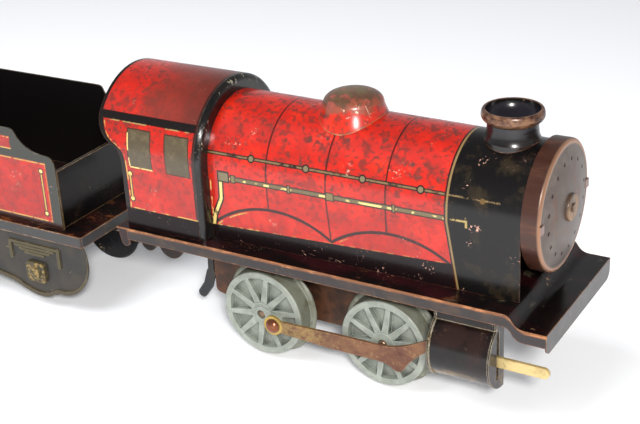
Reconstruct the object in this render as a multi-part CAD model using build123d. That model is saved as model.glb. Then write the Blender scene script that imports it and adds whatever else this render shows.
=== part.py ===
from build123d import *
import os
from math import acos, atan2, cos, degrees, hypot, pi, radians, sin, sqrt, tan

# O gauge tinplate clockwork train: a four-wheeled locomotive and its four-wheeled tender.
# Millimetres, +X forward, +Y to the train's left, +Z up.  While it is modelled, X = 0 is midway
# between the locomotive's axles and Z = 0 is the surface that the wheels stand on.

# ---------------------------------------------------------------- driving dimensions
SHEET = 0.5                   # tinplate thickness
GAP = 0.05                    # radial running clearance of every shaft in its hole
SEAT = 0.02                   # radial gap drawn between a pressed-on piece and its shaft

GAUGE = 32.0                  # between the rails
WHEEL_FACE = 21.5             # outer face of every wheel, from the centre line
FLANGE_OUT = GAUGE / 2
FLANGE_IN = 14.3

WHEELBASE = 43.5              # locomotive
AXLE_Z = 16.3
AXLE_R = 1.5
TREAD_R = 14.4
FLANGE_R = 16.3
REAR_AXLE_X = -WHEELBASE / 2
FRONT_AXLE_X = WHEELBASE / 2
SPOKES = 10
CRANK_R = 5.69
CRANK_PIN_R = 1.1
CRANK_ANGLE = -19.5           # degrees above the forward direction, right-hand side

FOOT_TOP = 39.0               # footplate
FOOT_HALF = 26.5
FOOT_REAR = -73.8
FOOT_FRONT = 75.8
FOOT_BEND = 62.6              # where the front end starts to curve down
FOOT_DROP = 3.9
VALANCE = 4.0
BEAM_DEPTH = 6.6
BEAM_RETURN = 4.2

BOILER_Z = 62.6               # boiler, smokebox and cab share this centre height
BOILER_REAR = -39.8
BOILER_FRONT = 69.3
BOILER_R_REAR = 19.4
BOILER_R_FRONT = 18.4
SMOKEBOX_STEP = 64.3          # in front of this the smokebox is a round tube
DOOR_FRONT = 70.0
DOOR_R = 19.6
DOOR_DEPTH = 5.4
DOOR_BULGE = 1.9              # how far the middle of the door stands out
DOOR_FACE_R = 17.6
DIMPLE_RING_R = 14.0
DIMPLES = 16
BOSS_R = 4.1

CHIMNEY_X = 54.0
CHIMNEY_TOP = 90.0
DOME_X = 2.5
DOME_TOP = 88.3

CAB_R = 24.1
CAB_FRONT = -41.8
CAB_ROOF_REAR = -80.5
CAB_SIDE_REAR = -70.5
CAB_EAVE = 76.0
COLLAR_FRONT = BOILER_REAR
COLLAR_ROUND = 1.9            # radius along the collar's front edge
COLLAR_HOLE_R = 18.6

PLATE_OUT = 11.0              # motor side plates
PLATE_T = 1.0
PLATE_IN = PLATE_OUT - PLATE_T
PILLAR_R = 2.0
SCREW_R = 1.0
LUG_Z = 37.5                  # underside of the lugs that hold the motor to the footplate
FOOT_SCREWS = [(x, y) for x in (-45.2, 38.4) for y in (-14.4, 14.4)]
PILLARS = [(-42.0, 30.0), (-26.0, 60.0), (20.0, 60.0), (33.0, 28.0)]

MODULE = 0.7                  # gear train
GREAT_TEETH = 56
MID_PINION_TEETH = 12
MID_WHEEL_TEETH = 36
AXLE_PINION_TEETH = 14
GREAT_X = 2.0
GREAT_Z = 46.0
ARBOR_R = 1.6
MID_ARBOR_R = 1.0
KEY_SQUARE = 3.2
ARBOR_END = 24.0

CYL_REAR = 40.5               # dummy cylinders
CYL_FRONT = 60.2
CYL_Y = 19.2
CYL_Z = 22.2
CYL_R = 10.5
CYL_RIM = 0.4                 # how far the end plates stand proud
CYL_NECK = 24.2               # half width at the footplate
ROD_Y = 23.6                  # middle plane of the rods
ROD_T = 1.0
ROD_BAR_Z = 21.4              # height of the straight piston end
ROD_BAR_H = 3.4
ROD_FRONT = 76.0
LEVER_LAYER = (-8.6, -7.6)     # the brake lever's thickness

PIN_LOCO_X = -66.0            # drawbar
PIN_TENDER_X = -96.0
DRAW_Z = 22.9
DRAW_T = 1.0
DRAW_PIN_R = 1.2

TENDER_FRONT = -90.4          # tender
TENDER_REAR = -185.6
TENDER_TOP = 31.0
TENDER_BODY_HALF = 24.0
TENDER_BODY_FRONT = -100.0
TENDER_BODY_REAR = TENDER_REAR + 4.0
TENDER_SIDE_TOP = 65.7
TENDER_LOW_TOP = 57.8
TENDER_PANEL_TOP = 52.0
TENDER_PANEL_X = -100.8
TENDER_MID = (TENDER_FRONT + TENDER_REAR) / 2
TENDER_AXLES = (-113.0, 2 * TENDER_MID + 113.0)
TENDER_AXLE_Z = 12.8
TENDER_FLANGE_R = 12.8
TENDER_TREAD_R = 11.0
TENDER_AXLE_R = 1.2
FRAME_Y = 25.45               # inner face of a side frame
HOOK_PIN_X = -186.6
HOOK_REAR = -196.6

SHIFT_X = -(ROD_FRONT + HOOK_REAR) / 2     # puts the origin under the middle of the train
SIDES = (("right", -1), ("left", 1))


# ---------------------------------------------------------------- helpers
def save(name, shape):
    """Write one named piece at its place in the finished train."""
    moved = Pos(SHIFT_X, 0, 0) * shape
    moved.label = name
    export_step(moved, f"parts/{name}.step")


def block(x0, x1, y0, y1, z0, z1):
    size = Box(abs(x1 - x0), abs(y1 - y0), abs(z1 - z0))
    return Pos((x0 + x1) / 2, (y0 + y1) / 2, (z0 + z1) / 2) * size


def across(x, z, r, y0, y1):
    """Round bar along Y."""
    return Pos(x, (y0 + y1) / 2, z) * Rot(90, 0, 0) * Cylinder(r, abs(y1 - y0))


def upright(x, y, r, z0, z1):
    """Round bar along Z."""
    return Pos(x, y, (z0 + z1) / 2) * Cylinder(r, abs(z1 - z0))


def slab_y(sketch, y0, y1):
    """A sketch drawn in X and Z, made solid between two Y planes."""
    low, high = min(y0, y1), max(y0, y1)
    return extrude(Plane(origin=(0, high, 0), x_dir=(1, 0, 0), z_dir=(0, -1, 0)) * sketch, high - low)


def slab_x(sketch, x0, x1):
    """A sketch drawn in Y and Z, made solid between two X planes."""
    low, high = min(x0, x1), max(x0, x1)
    return extrude(Plane(origin=(low, 0, 0), x_dir=(0, 1, 0), z_dir=(1, 0, 0)) * sketch, high - low)


def slab_z(sketch, z0, z1):
    low, high = min(z0, z1), max(z0, z1)
    return extrude(Plane(origin=(0, 0, low)) * sketch, high - low)


def outline(*points):
    return make_face(Polyline(*points, close=True))


def turned(*edges, at=(0, 0)):
    """Turn a closed half-section drawn as (radius, height) about a vertical axis."""
    face = make_face(Curve() + list(edges))
    return Pos(at[0], at[1], 0) * revolve(Plane.XZ * face, Axis.Z)


def turned_y(points, x, z, side):
    """Turn a half-section of (radius, distance from the centre line) about an axle on one side."""
    face = make_face(Polyline(*points, close=True))
    body = revolve(Plane.XZ * face, Axis.Z)
    return Pos(x, 0, z) * Rot(-90 * side, 0, 0) * body


def arch(half, centre_z, base_z):
    """Upside-down U: a half round on straight sides, drawn in Y and Z."""
    round_top = Pos(0, centre_z) * Circle(half)
    legs = Pos(0, (centre_z + base_z) / 2) * Rectangle(2 * half, centre_z - base_z)
    below = Pos(0, base_z - half) * Rectangle(4 * half, 2 * half)
    return round_top + legs - below


def to_side(shape, side):
    """Shapes are drawn on the right-hand side, where Y is negative."""
    return shape if side < 0 else mirror(shape, Plane.XZ)


# ---------------------------------------------------------------- footplate
def foot_curve(shift, start_x):
    """Top line of the footplate, lowered by shift."""
    low = FOOT_TOP - FOOT_DROP
    flat = Line((start_x, FOOT_TOP - shift), (FOOT_BEND, FOOT_TOP - shift))
    bend = Bezier(
        (FOOT_BEND, FOOT_TOP - shift),
        (FOOT_BEND + 3.2, FOOT_TOP - shift),
        (FOOT_BEND + 2.2, low - shift),
        (FOOT_BEND + 6.6, low - shift),
    )
    front = Line((FOOT_BEND + 6.6, low - shift), (FOOT_FRONT, low - shift))
    return flat, bend, front


def foot_band(depth, start_x):
    """Closed region between the top line and the same line lowered by depth."""
    top = foot_curve(0, start_x)
    bottom = foot_curve(depth, start_x)
    rear = Line((start_x, FOOT_TOP), (start_x, FOOT_TOP - depth))
    end = Line((FOOT_FRONT, FOOT_TOP - FOOT_DROP), (FOOT_FRONT, FOOT_TOP - FOOT_DROP - depth))
    return make_face(Curve() + [*top, *bottom, rear, end])


def footplate():
    low = FOOT_TOP - FOOT_DROP
    plate = slab_y(foot_band(SHEET, FOOT_REAR), -FOOT_HALF, FOOT_HALF)
    for side in (-1, 1):
        edge = slab_y(foot_band(VALANCE, FOOT_REAR + 4.2), side * FOOT_HALF, side * (FOOT_HALF - SHEET))
        plate += edge
        tab = slab_y(
            Pos(FOOT_REAR + 1.9, FOOT_TOP - 3.2) * Rot(0, 0, 12) * SlotOverall(8.0, 3.4, rotation=90),
            side * (FOOT_HALF - 1.0),
            side * (FOOT_HALF - 1.0 - SHEET),
        )
        plate += tab - block(-90, 0, -40, 40, FOOT_TOP, 60)
    # front beam: a face bent down with rounded lower corners and short side returns
    beam = block(FOOT_FRONT - SHEET, FOOT_FRONT, -FOOT_HALF, FOOT_HALF, low - BEAM_DEPTH, low)
    lower = beam.edges().filter_by(Axis.X).group_by(Axis.Z)[0]
    plate += fillet(lower, 3.0)
    for side in (-1, 1):
        web = block(
            FOOT_FRONT - BEAM_RETURN,
            FOOT_FRONT,
            side * FOOT_HALF,
            side * (FOOT_HALF - SHEET),
            low - BEAM_DEPTH + 2.6,
            low,
        )
        plate += web
    # opening for the motor, slot for the brake lever, turned-down seam at the rear
    plate -= block(-47.4, 38.6, -12.4, 12.4, 0, FOOT_TOP + 1)
    plate -= block(-58.0, -43.0, -9.8, -6.4, 0, FOOT_TOP + 1)
    plate += block(FOOT_REAR, FOOT_REAR + SHEET, -19.0, 19.0, FOOT_TOP - 3.4, FOOT_TOP)
    for x, y in FOOT_SCREWS:
        plate -= upright(x, y, SCREW_R + GAP, 0, FOOT_TOP + 1)
    return plate


# ---------------------------------------------------------------- boiler and its fittings
def boiler_radius(x):
    t = (x - BOILER_REAR) / (BOILER_FRONT - BOILER_REAR)
    return BOILER_R_REAR + t * (BOILER_R_FRONT - BOILER_R_REAR)


def arch_loft(x0, x1, inset):
    plane = Plane(origin=(x0, 0, 0), x_dir=(0, 1, 0), z_dir=(1, 0, 0))
    first = plane * arch(boiler_radius(x0) - inset, BOILER_Z, FOOT_TOP)
    last = plane.offset(x1 - x0) * arch(boiler_radius(x1) - inset, BOILER_Z, FOOT_TOP)
    return loft([first, last], ruled=True)


def tube_x(r_out, r_in, x0, x1):
    ring = Pos(0, BOILER_Z) * (Circle(r_out) - Circle(r_in))
    return slab_x(ring, x0, x1)


def boiler_block():
    """The round top of the boiler as a solid, for cutting the saddles of the chimney and the dome."""
    length = SMOKEBOX_STEP - BOILER_REAR
    cone = Cone(BOILER_R_REAR, boiler_radius(SMOKEBOX_STEP), length)
    return Pos(BOILER_REAR + length / 2, 0, BOILER_Z) * Rot(0, 90, 0) * cone


def boiler_shell():
    shell = arch_loft(BOILER_REAR, SMOKEBOX_STEP, 0) - arch_loft(BOILER_REAR, SMOKEBOX_STEP, SHEET)
    r = boiler_radius(SMOKEBOX_STEP)
    shell += tube_x(r, r - SHEET, SMOKEBOX_STEP, BOILER_FRONT)
    shell -= across(GREAT_X, GREAT_Z, 3.6, 10, 40)
    return shell


def smokebox_door():
    """Domed cap pushed over the round end of the smokebox."""
    back = DOOR_FRONT - DOOR_DEPTH
    inside = DOOR_R - SHEET
    seat = BOILER_FRONT + 0.1
    apex = DOOR_FRONT + DOOR_BULGE
    skirt = [
        Line((DOOR_R, back), (DOOR_R, DOOR_FRONT - 1)),
        RadiusArc((DOOR_R, DOOR_FRONT - 1), (DOOR_R - 1, DOOR_FRONT), -1),
        Line((DOOR_R - 1, DOOR_FRONT), (DOOR_FACE_R, DOOR_FRONT)),
        ThreePointArc((DOOR_FACE_R, DOOR_FRONT), (DOOR_FACE_R / 2, apex - DOOR_BULGE / 4), (0, apex)),
        Line((0, apex), (0, apex - SHEET)),
        ThreePointArc(
            (0, apex - SHEET),
            (DOOR_FACE_R / 2, apex - SHEET - DOOR_BULGE / 4),
            (DOOR_FACE_R, DOOR_FRONT - SHEET),
        ),
        Line((DOOR_FACE_R, DOOR_FRONT - SHEET), (inside, seat)),
        Line((inside, seat), (inside, back)),
        Line((inside, back), (DOOR_R, back)),
    ]
    cap = Pos(0, 0, BOILER_Z) * Rot(0, 90, 0) * turned(*skirt)
    centre = Pos(0, BOILER_Z)
    boss = slab_x(centre * Circle(BOSS_R), apex - SHEET, apex + 0.8)
    cap += fillet(boss.edges().group_by(Axis.X)[-1], 0.4)
    cap += slab_x(centre * Circle(1.3), apex, apex + 1.3)
    # ring of pressed dimples
    depth_x = DOOR_FRONT + DOOR_BULGE * (1 - (DIMPLE_RING_R / DOOR_FACE_R) ** 2) - 0.25
    for n in range(DIMPLES):
        a = 2 * pi * (n + 0.5) / DIMPLES
        place = Pos(DIMPLE_RING_R * cos(a), BOILER_Z + DIMPLE_RING_R * sin(a))
        cap -= slab_x(place * Circle(0.6), depth_x, DOOR_FRONT + 2)
    # the two tabs that hold the door
    for y in (-1, 1):
        tab = block(DOOR_FRONT - 0.2, DOOR_FRONT + 0.5, y * 16.6, y * 18.9, BOILER_Z - 1.3, BOILER_Z + 1.3)
        cap += tab
    return cap


def chimney():
    """Turned chimney with a slight flare at its foot, a thick lip and a bowl inside it."""
    top = CHIMNEY_TOP
    foot = BOILER_Z
    edges = [
        Line((0, foot), (8.4, foot)),
        Line((8.4, foot), (8.2, top - 9.0)),
        Bezier((8.2, top - 9.0), (7.6, top - 8.0), (7.45, top - 7.0), (7.4, top - 5.8)),
        Line((7.4, top - 5.8), (7.4, top - 4.0)),
        Bezier((7.4, top - 4.0), (8.4, top - 3.4), (9.0, top - 2.8), (9.1, top - 2.0)),
        Bezier((9.1, top - 2.0), (9.1, top - 1.0), (8.9, top - 0.1), (8.4, top)),
        Line((8.4, top), (7.9, top)),
        Bezier((7.9, top), (7.8, top - 3.0), (5.5, top - 5.4), (0, top - 5.4)),
        Line((0, top - 5.4), (0, foot)),
    ]
    return turned(*edges, at=(CHIMNEY_X, 0)) - boiler_block()


def dome():
    """Low bell whose skirt flares out onto the boiler."""
    top = DOME_TOP
    foot = BOILER_Z
    edges = [
        Line((0, foot), (11.8, foot)),
        Line((11.8, foot), (11.7, top - 12.0)),
        Bezier((11.7, top - 12.0), (11.6, top - 8.4), (9.9, top - 6.6), (9.3, top - 3.6)),
        Bezier((9.3, top - 3.6), (8.8, top - 0.9), (4.8, top), (0, top)),
        Line((0, top), (0, foot)),
    ]
    return turned(*edges, at=(DOME_X, 0)) - boiler_block()


# ---------------------------------------------------------------- cab
def cab_shell():
    """Roof and both sides in one bent sheet; the sides sweep forward below the eaves."""
    tunnel = arch(CAB_R, BOILER_Z, FOOT_TOP) - arch(CAB_R - SHEET, BOILER_Z, FOOT_TOP)
    shell = slab_x(tunnel, CAB_ROOF_REAR, CAB_FRONT)
    rear, eave = CAB_ROOF_REAR, CAB_EAVE - 0.4
    side, knee = CAB_SIDE_REAR, (CAB_SIDE_REAR - 3.1, CAB_EAVE - 9.4)
    edges = [
        Line((side, FOOT_TOP - 1), (side, knee[1] - 6.4)),
        Bezier((side, knee[1] - 6.4), (side, knee[1] - 3.0), (side - 0.9, knee[1] - 0.8), knee),
        Bezier(knee, (side - 5.6, knee[1] + 0.8), (rear + 0.8, knee[1] + 3.6), (rear, eave)),
        Line((rear, eave), (rear - 5, eave)),
        Line((rear - 5, eave), (rear - 5, FOOT_TOP - 1)),
        Line((rear - 5, FOOT_TOP - 1), (side, FOOT_TOP - 1)),
    ]
    away = make_face(Curve() + edges)
    return shell - slab_y(away, -40, 40)


def cab_front():
    """Pressed plate between cab and boiler: a rounded collar with a flange inside the cab."""
    collar = slab_x(arch(CAB_R, BOILER_Z, FOOT_TOP), CAB_FRONT, COLLAR_FRONT)
    nose = [e for e in collar.edges().group_by(Axis.X)[-1] if e.center().Z > FOOT_TOP + 0.1]
    collar = fillet(nose, COLLAR_ROUND)
    collar -= slab_x(arch(CAB_R - 0.7, BOILER_Z, FOOT_TOP - 1), CAB_FRONT - 1, COLLAR_FRONT - 1.0)
    collar -= slab_x(arch(COLLAR_HOLE_R, BOILER_Z, FOOT_TOP - 1), CAB_FRONT - 1, COLLAR_FRONT + 1)
    flange = arch(CAB_R - SHEET - SEAT, BOILER_Z, FOOT_TOP) - arch(CAB_R - 2 * SHEET, BOILER_Z, FOOT_TOP)
    return collar + slab_x(flange, CAB_FRONT - 2.6, CAB_FRONT + 0.2)


# ---------------------------------------------------------------- motor frame
def motor_plate(side):
    shape = outline(
        (-46.9, 13.8), (-38.0, 12.0), (34.0, 12.0), (38.0, 16.0),
        (38.0, 36.5), (25.0, 68.0), (-29.0, 68.0), (-46.9, 40.0),
    )
    shape = fillet(shape.vertices(), 2.0)
    plate = slab_y(shape, side * PLATE_IN, side * PLATE_OUT)
    for x in (REAR_AXLE_X, FRONT_AXLE_X):
        plate -= across(x, AXLE_Z, AXLE_R + GAP, side * 5, side * 20)
    plate -= across(GREAT_X, GREAT_Z, ARBOR_R + GAP, side * 5, side * 20)
    plate -= across(*MID_CENTRE, MID_ARBOR_R + GAP, side * 5, side * 20)
    for x, z in PILLARS:
        plate -= across(x, z, SCREW_R, side * 5, side * 20)
    # lugs bent outwards under the footplate
    for x in (-45.2, 35.2):
        plate += block(x - 2.4, x + 2.4, side * (PLATE_OUT - 0.2), side * 17.0, LUG_Z, FOOT_TOP - SHEET)
    for x, y in FOOT_SCREWS:
        plate -= upright(x, y, SCREW_R + GAP, LUG_Z - 5, FOOT_TOP)
    return plate


def motor_pillars():
    group = []
    for x, z in PILLARS:
        pillar = across(x, z, PILLAR_R, -PLATE_IN, PLATE_IN)
        for side in (-1, 1):
            pillar -= across(x, z, SCREW_R, side * (PLATE_IN - 5), side * (PLATE_IN + 1))
        group.append(pillar)
    return Part() + group


def cheese_screw(length):
    """Slotted screw along +Z with the underside of its head at Z = 0."""
    screw = Pos(0, 0, 0.55) * Cylinder(1.9, 1.1)
    screw = fillet(screw.edges().group_by(Axis.Z)[-1], 0.3)
    screw -= Pos(0, 0, 1.0) * Box(5, 0.5, 0.7)
    return screw + Pos(0, 0, -length / 2) * Cylinder(SCREW_R - SEAT, length)


def pillar_screws():
    group = []
    for x, z in PILLARS:
        for side in (-1, 1):
            group.append(Pos(x, side * PLATE_OUT, z) * Rot(-90 * side, 0, 0) * cheese_screw(4.5))
    return Part() + group


def footplate_screws():
    group = []
    for x, y in FOOT_SCREWS:
        group.append(Pos(x, y, LUG_Z) * Rot(180, 0, 0) * cheese_screw(1.5))
    return Part() + group


# ---------------------------------------------------------------- gear train
def gear_face(teeth, phase):
    """Involute gear outline in X and Z about the origin, one tooth centred at phase degrees."""
    pitch_r = MODULE * teeth / 2
    pressure = radians(20)
    base_r = pitch_r * cos(pressure)
    tip_r = pitch_r + 0.75 * MODULE
    root_r = pitch_r - 1.1 * MODULE
    backlash = 0.10
    half_pitch = pi / (2 * teeth) - backlash / (2 * pitch_r)
    inv = tan(pressure) - pressure
    points = []
    for n in range(teeth):
        middle = radians(phase) + 2 * pi * n / teeth
        flank = []
        for k in range(4):
            r = max(root_r, base_r) + (tip_r - max(root_r, base_r)) * k / 3
            local = acos(min(1.0, base_r / r))
            flank.append((r, half_pitch + inv - (tan(local) - local)))
        if root_r < base_r:
            flank.insert(0, (root_r, flank[0][1]))
        rising = [(r, middle - a) for r, a in flank]
        falling = [(r, middle + a) for r, a in reversed(flank)]
        points += [(r * cos(a), r * sin(a)) for r, a in rising + falling]
    return outline(*points)


def gear(teeth, phase, centre, y0, y1, bore):
    body = slab_y(Pos(*centre) * gear_face(teeth, phase), y0, y1)
    return body - across(*centre, bore, y0 - 1, y1 + 1)


def meet(a, ra, b, rb):
    """The upper-rear point at distance ra from a and rb from b."""
    dx, dz = b[0] - a[0], b[1] - a[1]
    d = hypot(dx, dz)
    along = (ra**2 - rb**2 + d**2) / (2 * d)
    off = sqrt(ra**2 - along**2)
    return (a[0] + along * dx / d + off * dz / d, a[1] + along * dz / d - off * dx / d)


def bearing_angle(a, b):
    return degrees(atan2(b[1] - a[1], b[0] - a[0]))


GREAT_CENTRE = (GREAT_X, GREAT_Z)
REAR_CENTRE = (REAR_AXLE_X, AXLE_Z)
MID_CENTRE = meet(
    GREAT_CENTRE,
    MODULE * (GREAT_TEETH + MID_PINION_TEETH) / 2,
    REAR_CENTRE,
    MODULE * (MID_WHEEL_TEETH + AXLE_PINION_TEETH) / 2,
)
GREAT_LAYER = (-9.2, -7.9)
RATCHET_LAYER = (-7.5, -6.3)
SPRING_LAYER = (-5.8, 5.0)
SPRING_REACH = 16.6           # radius of the coiled spring
MID_LAYER = (6.0, 7.3)
CLICK_PIN = (GREAT_X + 2.8, GREAT_Z + 9.6)
RATCHET_TEETH = 12
RATCHET_R = 5.4
RATCHET_ROOT = 4.5
CLICK_PIN_R = 0.8


def great_wheel():
    phase = bearing_angle(GREAT_CENTRE, MID_CENTRE)
    wheel = gear(GREAT_TEETH, phase, GREAT_CENTRE, *GREAT_LAYER, ARBOR_R + GAP)
    for n in range(5):
        a = 2 * pi * n / 5 + 0.3
        wheel -= across(GREAT_X + 14.2 * cos(a), GREAT_Z + 14.2 * sin(a), 3.0, -20, 0)
    x, z = CLICK_PIN
    return wheel - across(x, z, CLICK_PIN_R, -20, 0)


def click_pin():
    x, z = CLICK_PIN
    shank = across(x, z, CLICK_PIN_R - SEAT, GREAT_LAYER[0], SPRING_LAYER[0] - 0.15)
    return shank + across(x, z, 1.2, RATCHET_LAYER[1] + 0.05, SPRING_LAYER[0] - 0.15)


def click():
    """Pawl that drops behind a ratchet tooth, on the inner face of the great wheel."""
    x, z = CLICK_PIN
    tip = (GREAT_X - 1.15, GREAT_Z + 5.6)
    arm = outline(
        (x - 1.3, z + 0.9),
        (x + 1.2, z - 1.0),
        (tip[0] + 0.3, tip[1] - 0.35),
        (tip[0] - 0.3, tip[1] + 0.5),
    )
    body = slab_y(arm + Pos(x, z) * Circle(1.6), *RATCHET_LAYER)
    return body - across(x, z, CLICK_PIN_R + GAP, -20, 0)


def winding_arbor():
    arbor = across(GREAT_X, GREAT_Z, ARBOR_R, -PLATE_OUT - 0.4, PLATE_OUT + 1.0)
    arbor += across(GREAT_X, GREAT_Z, 3.0, SPRING_LAYER[0] + 0.1, SPRING_LAYER[1] - 0.1)
    square = Pos(GREAT_X, (PLATE_OUT + ARBOR_END) / 2 + 0.5, GREAT_Z) * Box(
        KEY_SQUARE, ARBOR_END - PLATE_OUT - 1.0, KEY_SQUARE
    )
    return arbor + chamfer(square.edges().group_by(Axis.Y)[-1], 0.4)


def ratchet_wheel():
    points = []
    for n in range(RATCHET_TEETH):
        a = 2 * pi * n / RATCHET_TEETH + radians(105)
        b = a + 2 * pi / RATCHET_TEETH
        points.append((RATCHET_R * cos(a), RATCHET_R * sin(a)))
        points.append((RATCHET_ROOT * cos(b - 0.02), RATCHET_ROOT * sin(b - 0.02)))
    body = slab_y(Pos(GREAT_X, GREAT_Z) * outline(*points), *RATCHET_LAYER)
    return body - across(GREAT_X, GREAT_Z, ARBOR_R + SEAT, -20, 20)


def mainspring():
    """Flat spiral of spring strip, drawn as half rings with two alternating centres."""
    strip = 0.4
    step = 0.75
    radius = 3.5
    spiral = None
    half = 0
    while radius < SPRING_REACH:
        up = half % 2 == 0
        centre = GREAT_X + (0 if up else step)
        ring = Pos(centre, GREAT_Z) * (Circle(radius + strip) - Circle(radius))
        reach = 2 * (radius + 2)
        keep = Pos(centre, GREAT_Z + (reach / 2 if up else -reach / 2)) * Rectangle(2 * reach, reach)
        piece = ring & keep
        spiral = piece if spiral is None else spiral + piece
        radius += step
        half += 1
    swing = 1 if half % 2 == 0 else -1
    end_x = GREAT_X + (0 if half % 2 else step) + swing * (radius - step + strip / 2)
    tail_x = PILLARS[2][0] - 0.2
    spiral += Pos((end_x + tail_x) / 2, GREAT_Z) * Rectangle(abs(end_x - tail_x) + strip, strip)
    rise = PILLARS[2][1] - PILLAR_R - GREAT_Z
    spiral += Pos(tail_x, GREAT_Z + rise / 2) * Rectangle(strip, rise)
    return slab_y(spiral, SPRING_LAYER[0], SPRING_LAYER[1])


def mid_arbor():
    x, z = MID_CENTRE
    arbor = across(x, z, MID_ARBOR_R, -PLATE_OUT - 0.4, PLATE_OUT + 0.4)
    return arbor + across(x, z, 1.9, -6.6, MID_LAYER[0] - 0.1)


# ---------------------------------------------------------------- wheels, axles and rods
def crank_point(side):
    """Crank pin centre; the left crank is a quarter turn ahead of the right one."""
    a = radians(CRANK_ANGLE + (0 if side < 0 else 90))
    return (REAR_AXLE_X + CRANK_R * cos(a), AXLE_Z + CRANK_R * sin(a))


def loco_wheel(x, side, crank):
    face = WHEEL_FACE
    section = [
        (AXLE_R + SEAT, FLANGE_IN), (FLANGE_R - 0.7, FLANGE_IN), (FLANGE_R, FLANGE_IN + 0.5),
        (FLANGE_R, FLANGE_IN + 0.9), (FLANGE_R - 0.5, FLANGE_OUT - 0.3), (TREAD_R + 0.35, FLANGE_OUT),
        (TREAD_R, face - 0.25), (TREAD_R - 0.25, face), (12.3, face), (12.0, face - 2.3),
        (4.3, face - 2.3), (3.9, face + 0.35), (AXLE_R + SEAT, face + 0.35),
    ]
    wheel = turned_y(section, x, AXLE_Z, side)
    spoke = outline((3.2, -1.15), (12.4, -0.75), (12.4, 0.75), (3.2, 1.15))
    for n in range(SPOKES):
        arm = Pos(x, AXLE_Z) * Rot(0, 0, 360 * n / SPOKES + 9) * spoke
        wheel += slab_y(arm, side * (face - 2.6), side * (face - 0.15))
    if crank:
        px, pz = crank_point(side)
        turn = Rot(0, 0, bearing_angle((x, AXLE_Z), (px, pz)))
        web = Pos((x + px) / 2, (AXLE_Z + pz) / 2) * turn * SlotCenterToCenter(CRANK_R, 5.6)
        wheel += slab_y(web, side * (face - 2.6), side * (face + 0.9))
        wheel -= across(px, pz, CRANK_PIN_R, side * (face - 2.0), side * (face + 3))
    wheel -= across(x, AXLE_Z, AXLE_R + SEAT, side * 10, side * 30)
    return wheel


def axle(x, z, r, reach):
    bar = across(x, z, r, -reach, reach)
    return fillet(bar.edges().filter_by(GeomType.CIRCLE), r * 0.55)


def crank_pin(side):
    """Shouldered rivet: a shank in the wheel, a journal for the rod and a domed head."""
    x, z = crank_point(side)
    inner = WHEEL_FACE - 2.0
    outer = ROD_Y + ROD_T / 2 + 0.15
    pin = across(x, z, CRANK_PIN_R - SEAT, side * inner, side * (outer + 0.5))
    head = Pos(x, side * (outer - 0.9), z) * Sphere(2.6)
    head -= block(x - 5, x + 5, 0, side * outer, z - 5, z + 5)
    return pin + head


def rod(side):
    """Connecting rod and piston rod in one flat strip, drawn at the right-hand crank."""
    cx, cz = crank_point(-1)
    top = ROD_BAR_Z + ROD_BAR_H / 2
    low = ROD_BAR_Z - ROD_BAR_H / 2
    end = ROD_FRONT - ROD_BAR_H / 2
    belly = [
        Line((cx, cz + 1.85), (6.0, 16.9)),
        Line((6.0, 16.9), (20.0, 17.0)),
        Bezier((20.0, 17.0), (28.0, 17.1), (32.0, 19.6), (38.5, top)),
        Line((38.5, top), (end, top)),
        ThreePointArc((end, top), (ROD_FRONT, ROD_BAR_Z), (end, low)),
        Line((end, low), (39.5, low)),
        Bezier((39.5, low), (36.0, 18.3), (32.6, 14.6), (30.6, 11.8)),
        Bezier((30.6, 11.8), (29.2, 9.1), (27.6, 9.1), (26.2, 10.1)),
        Bezier((26.2, 10.1), (24.4, 11.6), (22.0, 11.7), (18.0, 11.6)),
        Line((18.0, 11.6), (4.0, 11.5)),
        Line((4.0, 11.5), (cx, cz - 1.85)),
        Line((cx, cz - 1.85), (cx, cz + 1.85)),
    ]
    shape = make_face(Curve() + belly) + Pos(cx, cz) * Circle(3.3)
    strip = slab_y(shape, -ROD_Y - ROD_T / 2, -ROD_Y + ROD_T / 2)
    strip -= across(cx, cz, CRANK_PIN_R + GAP, -30, 0)
    dx, dz = crank_point(side)
    return Pos(dx - cx, 0, dz - cz) * to_side(strip, side)


def cylinder_section(r, inset):
    """Half round on the outside, with a flat side up to the footplate, in Y and Z."""
    top = FOOT_TOP - SHEET
    half = Pos(-CYL_Y, CYL_Z) * Circle(r)
    half -= Pos(-CYL_Y + r, CYL_Z) * Rectangle(2 * r, 4 * r)
    neck = CYL_NECK - inset
    return half + outline((-neck, CYL_Z), (-CYL_Y, CYL_Z), (-CYL_Y, top), (-neck, top))


def cylinder(side):
    """Half-round pressing under the footplate, closed by two end plates slotted for the rod."""
    top = FOOT_TOP - SHEET
    wall = cylinder_section(CYL_R, 0) - cylinder_section(CYL_R - SHEET, SHEET)
    back = CYL_Z - CYL_R + 0.1
    wall += outline((-CYL_Y - SHEET, back), (-CYL_Y, back), (-CYL_Y, top), (-CYL_Y - SHEET, top))
    body = slab_x(wall, CYL_REAR, CYL_FRONT)
    plate = cylinder_section(CYL_R + CYL_RIM, -0.2)
    slot_low = ROD_BAR_Z - ROD_BAR_H / 2 - 4.4
    slot_high = ROD_BAR_Z + ROD_BAR_H / 2 + 8.0
    for x0, x1 in ((CYL_REAR, CYL_REAR + 0.7), (CYL_FRONT - 0.7, CYL_FRONT)):
        end = slab_x(plate, x0, x1)
        end -= block(x0 - 1, x1 + 1, -ROD_Y - 0.95, -ROD_Y + 0.95, slot_low, slot_high)
        body += end
    return to_side(body, side)


# ---------------------------------------------------------------- brake lever, drawbar, couplings
def strip_along(points, width, y0, y1):
    """Flat lever cut along a chain of points in X and Z."""
    shape = None
    for (xa, za), (xb, zb) in zip(points, points[1:]):
        slot = SlotCenterToCenter(hypot(xb - xa, zb - za), width)
        run = Pos((xa + xb) / 2, (za + zb) / 2) * Rot(0, 0, bearing_angle((xa, za), (xb, zb))) * slot
        shape = run if shape is None else shape + run
    return slab_y(shape, y0, y1)


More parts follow.
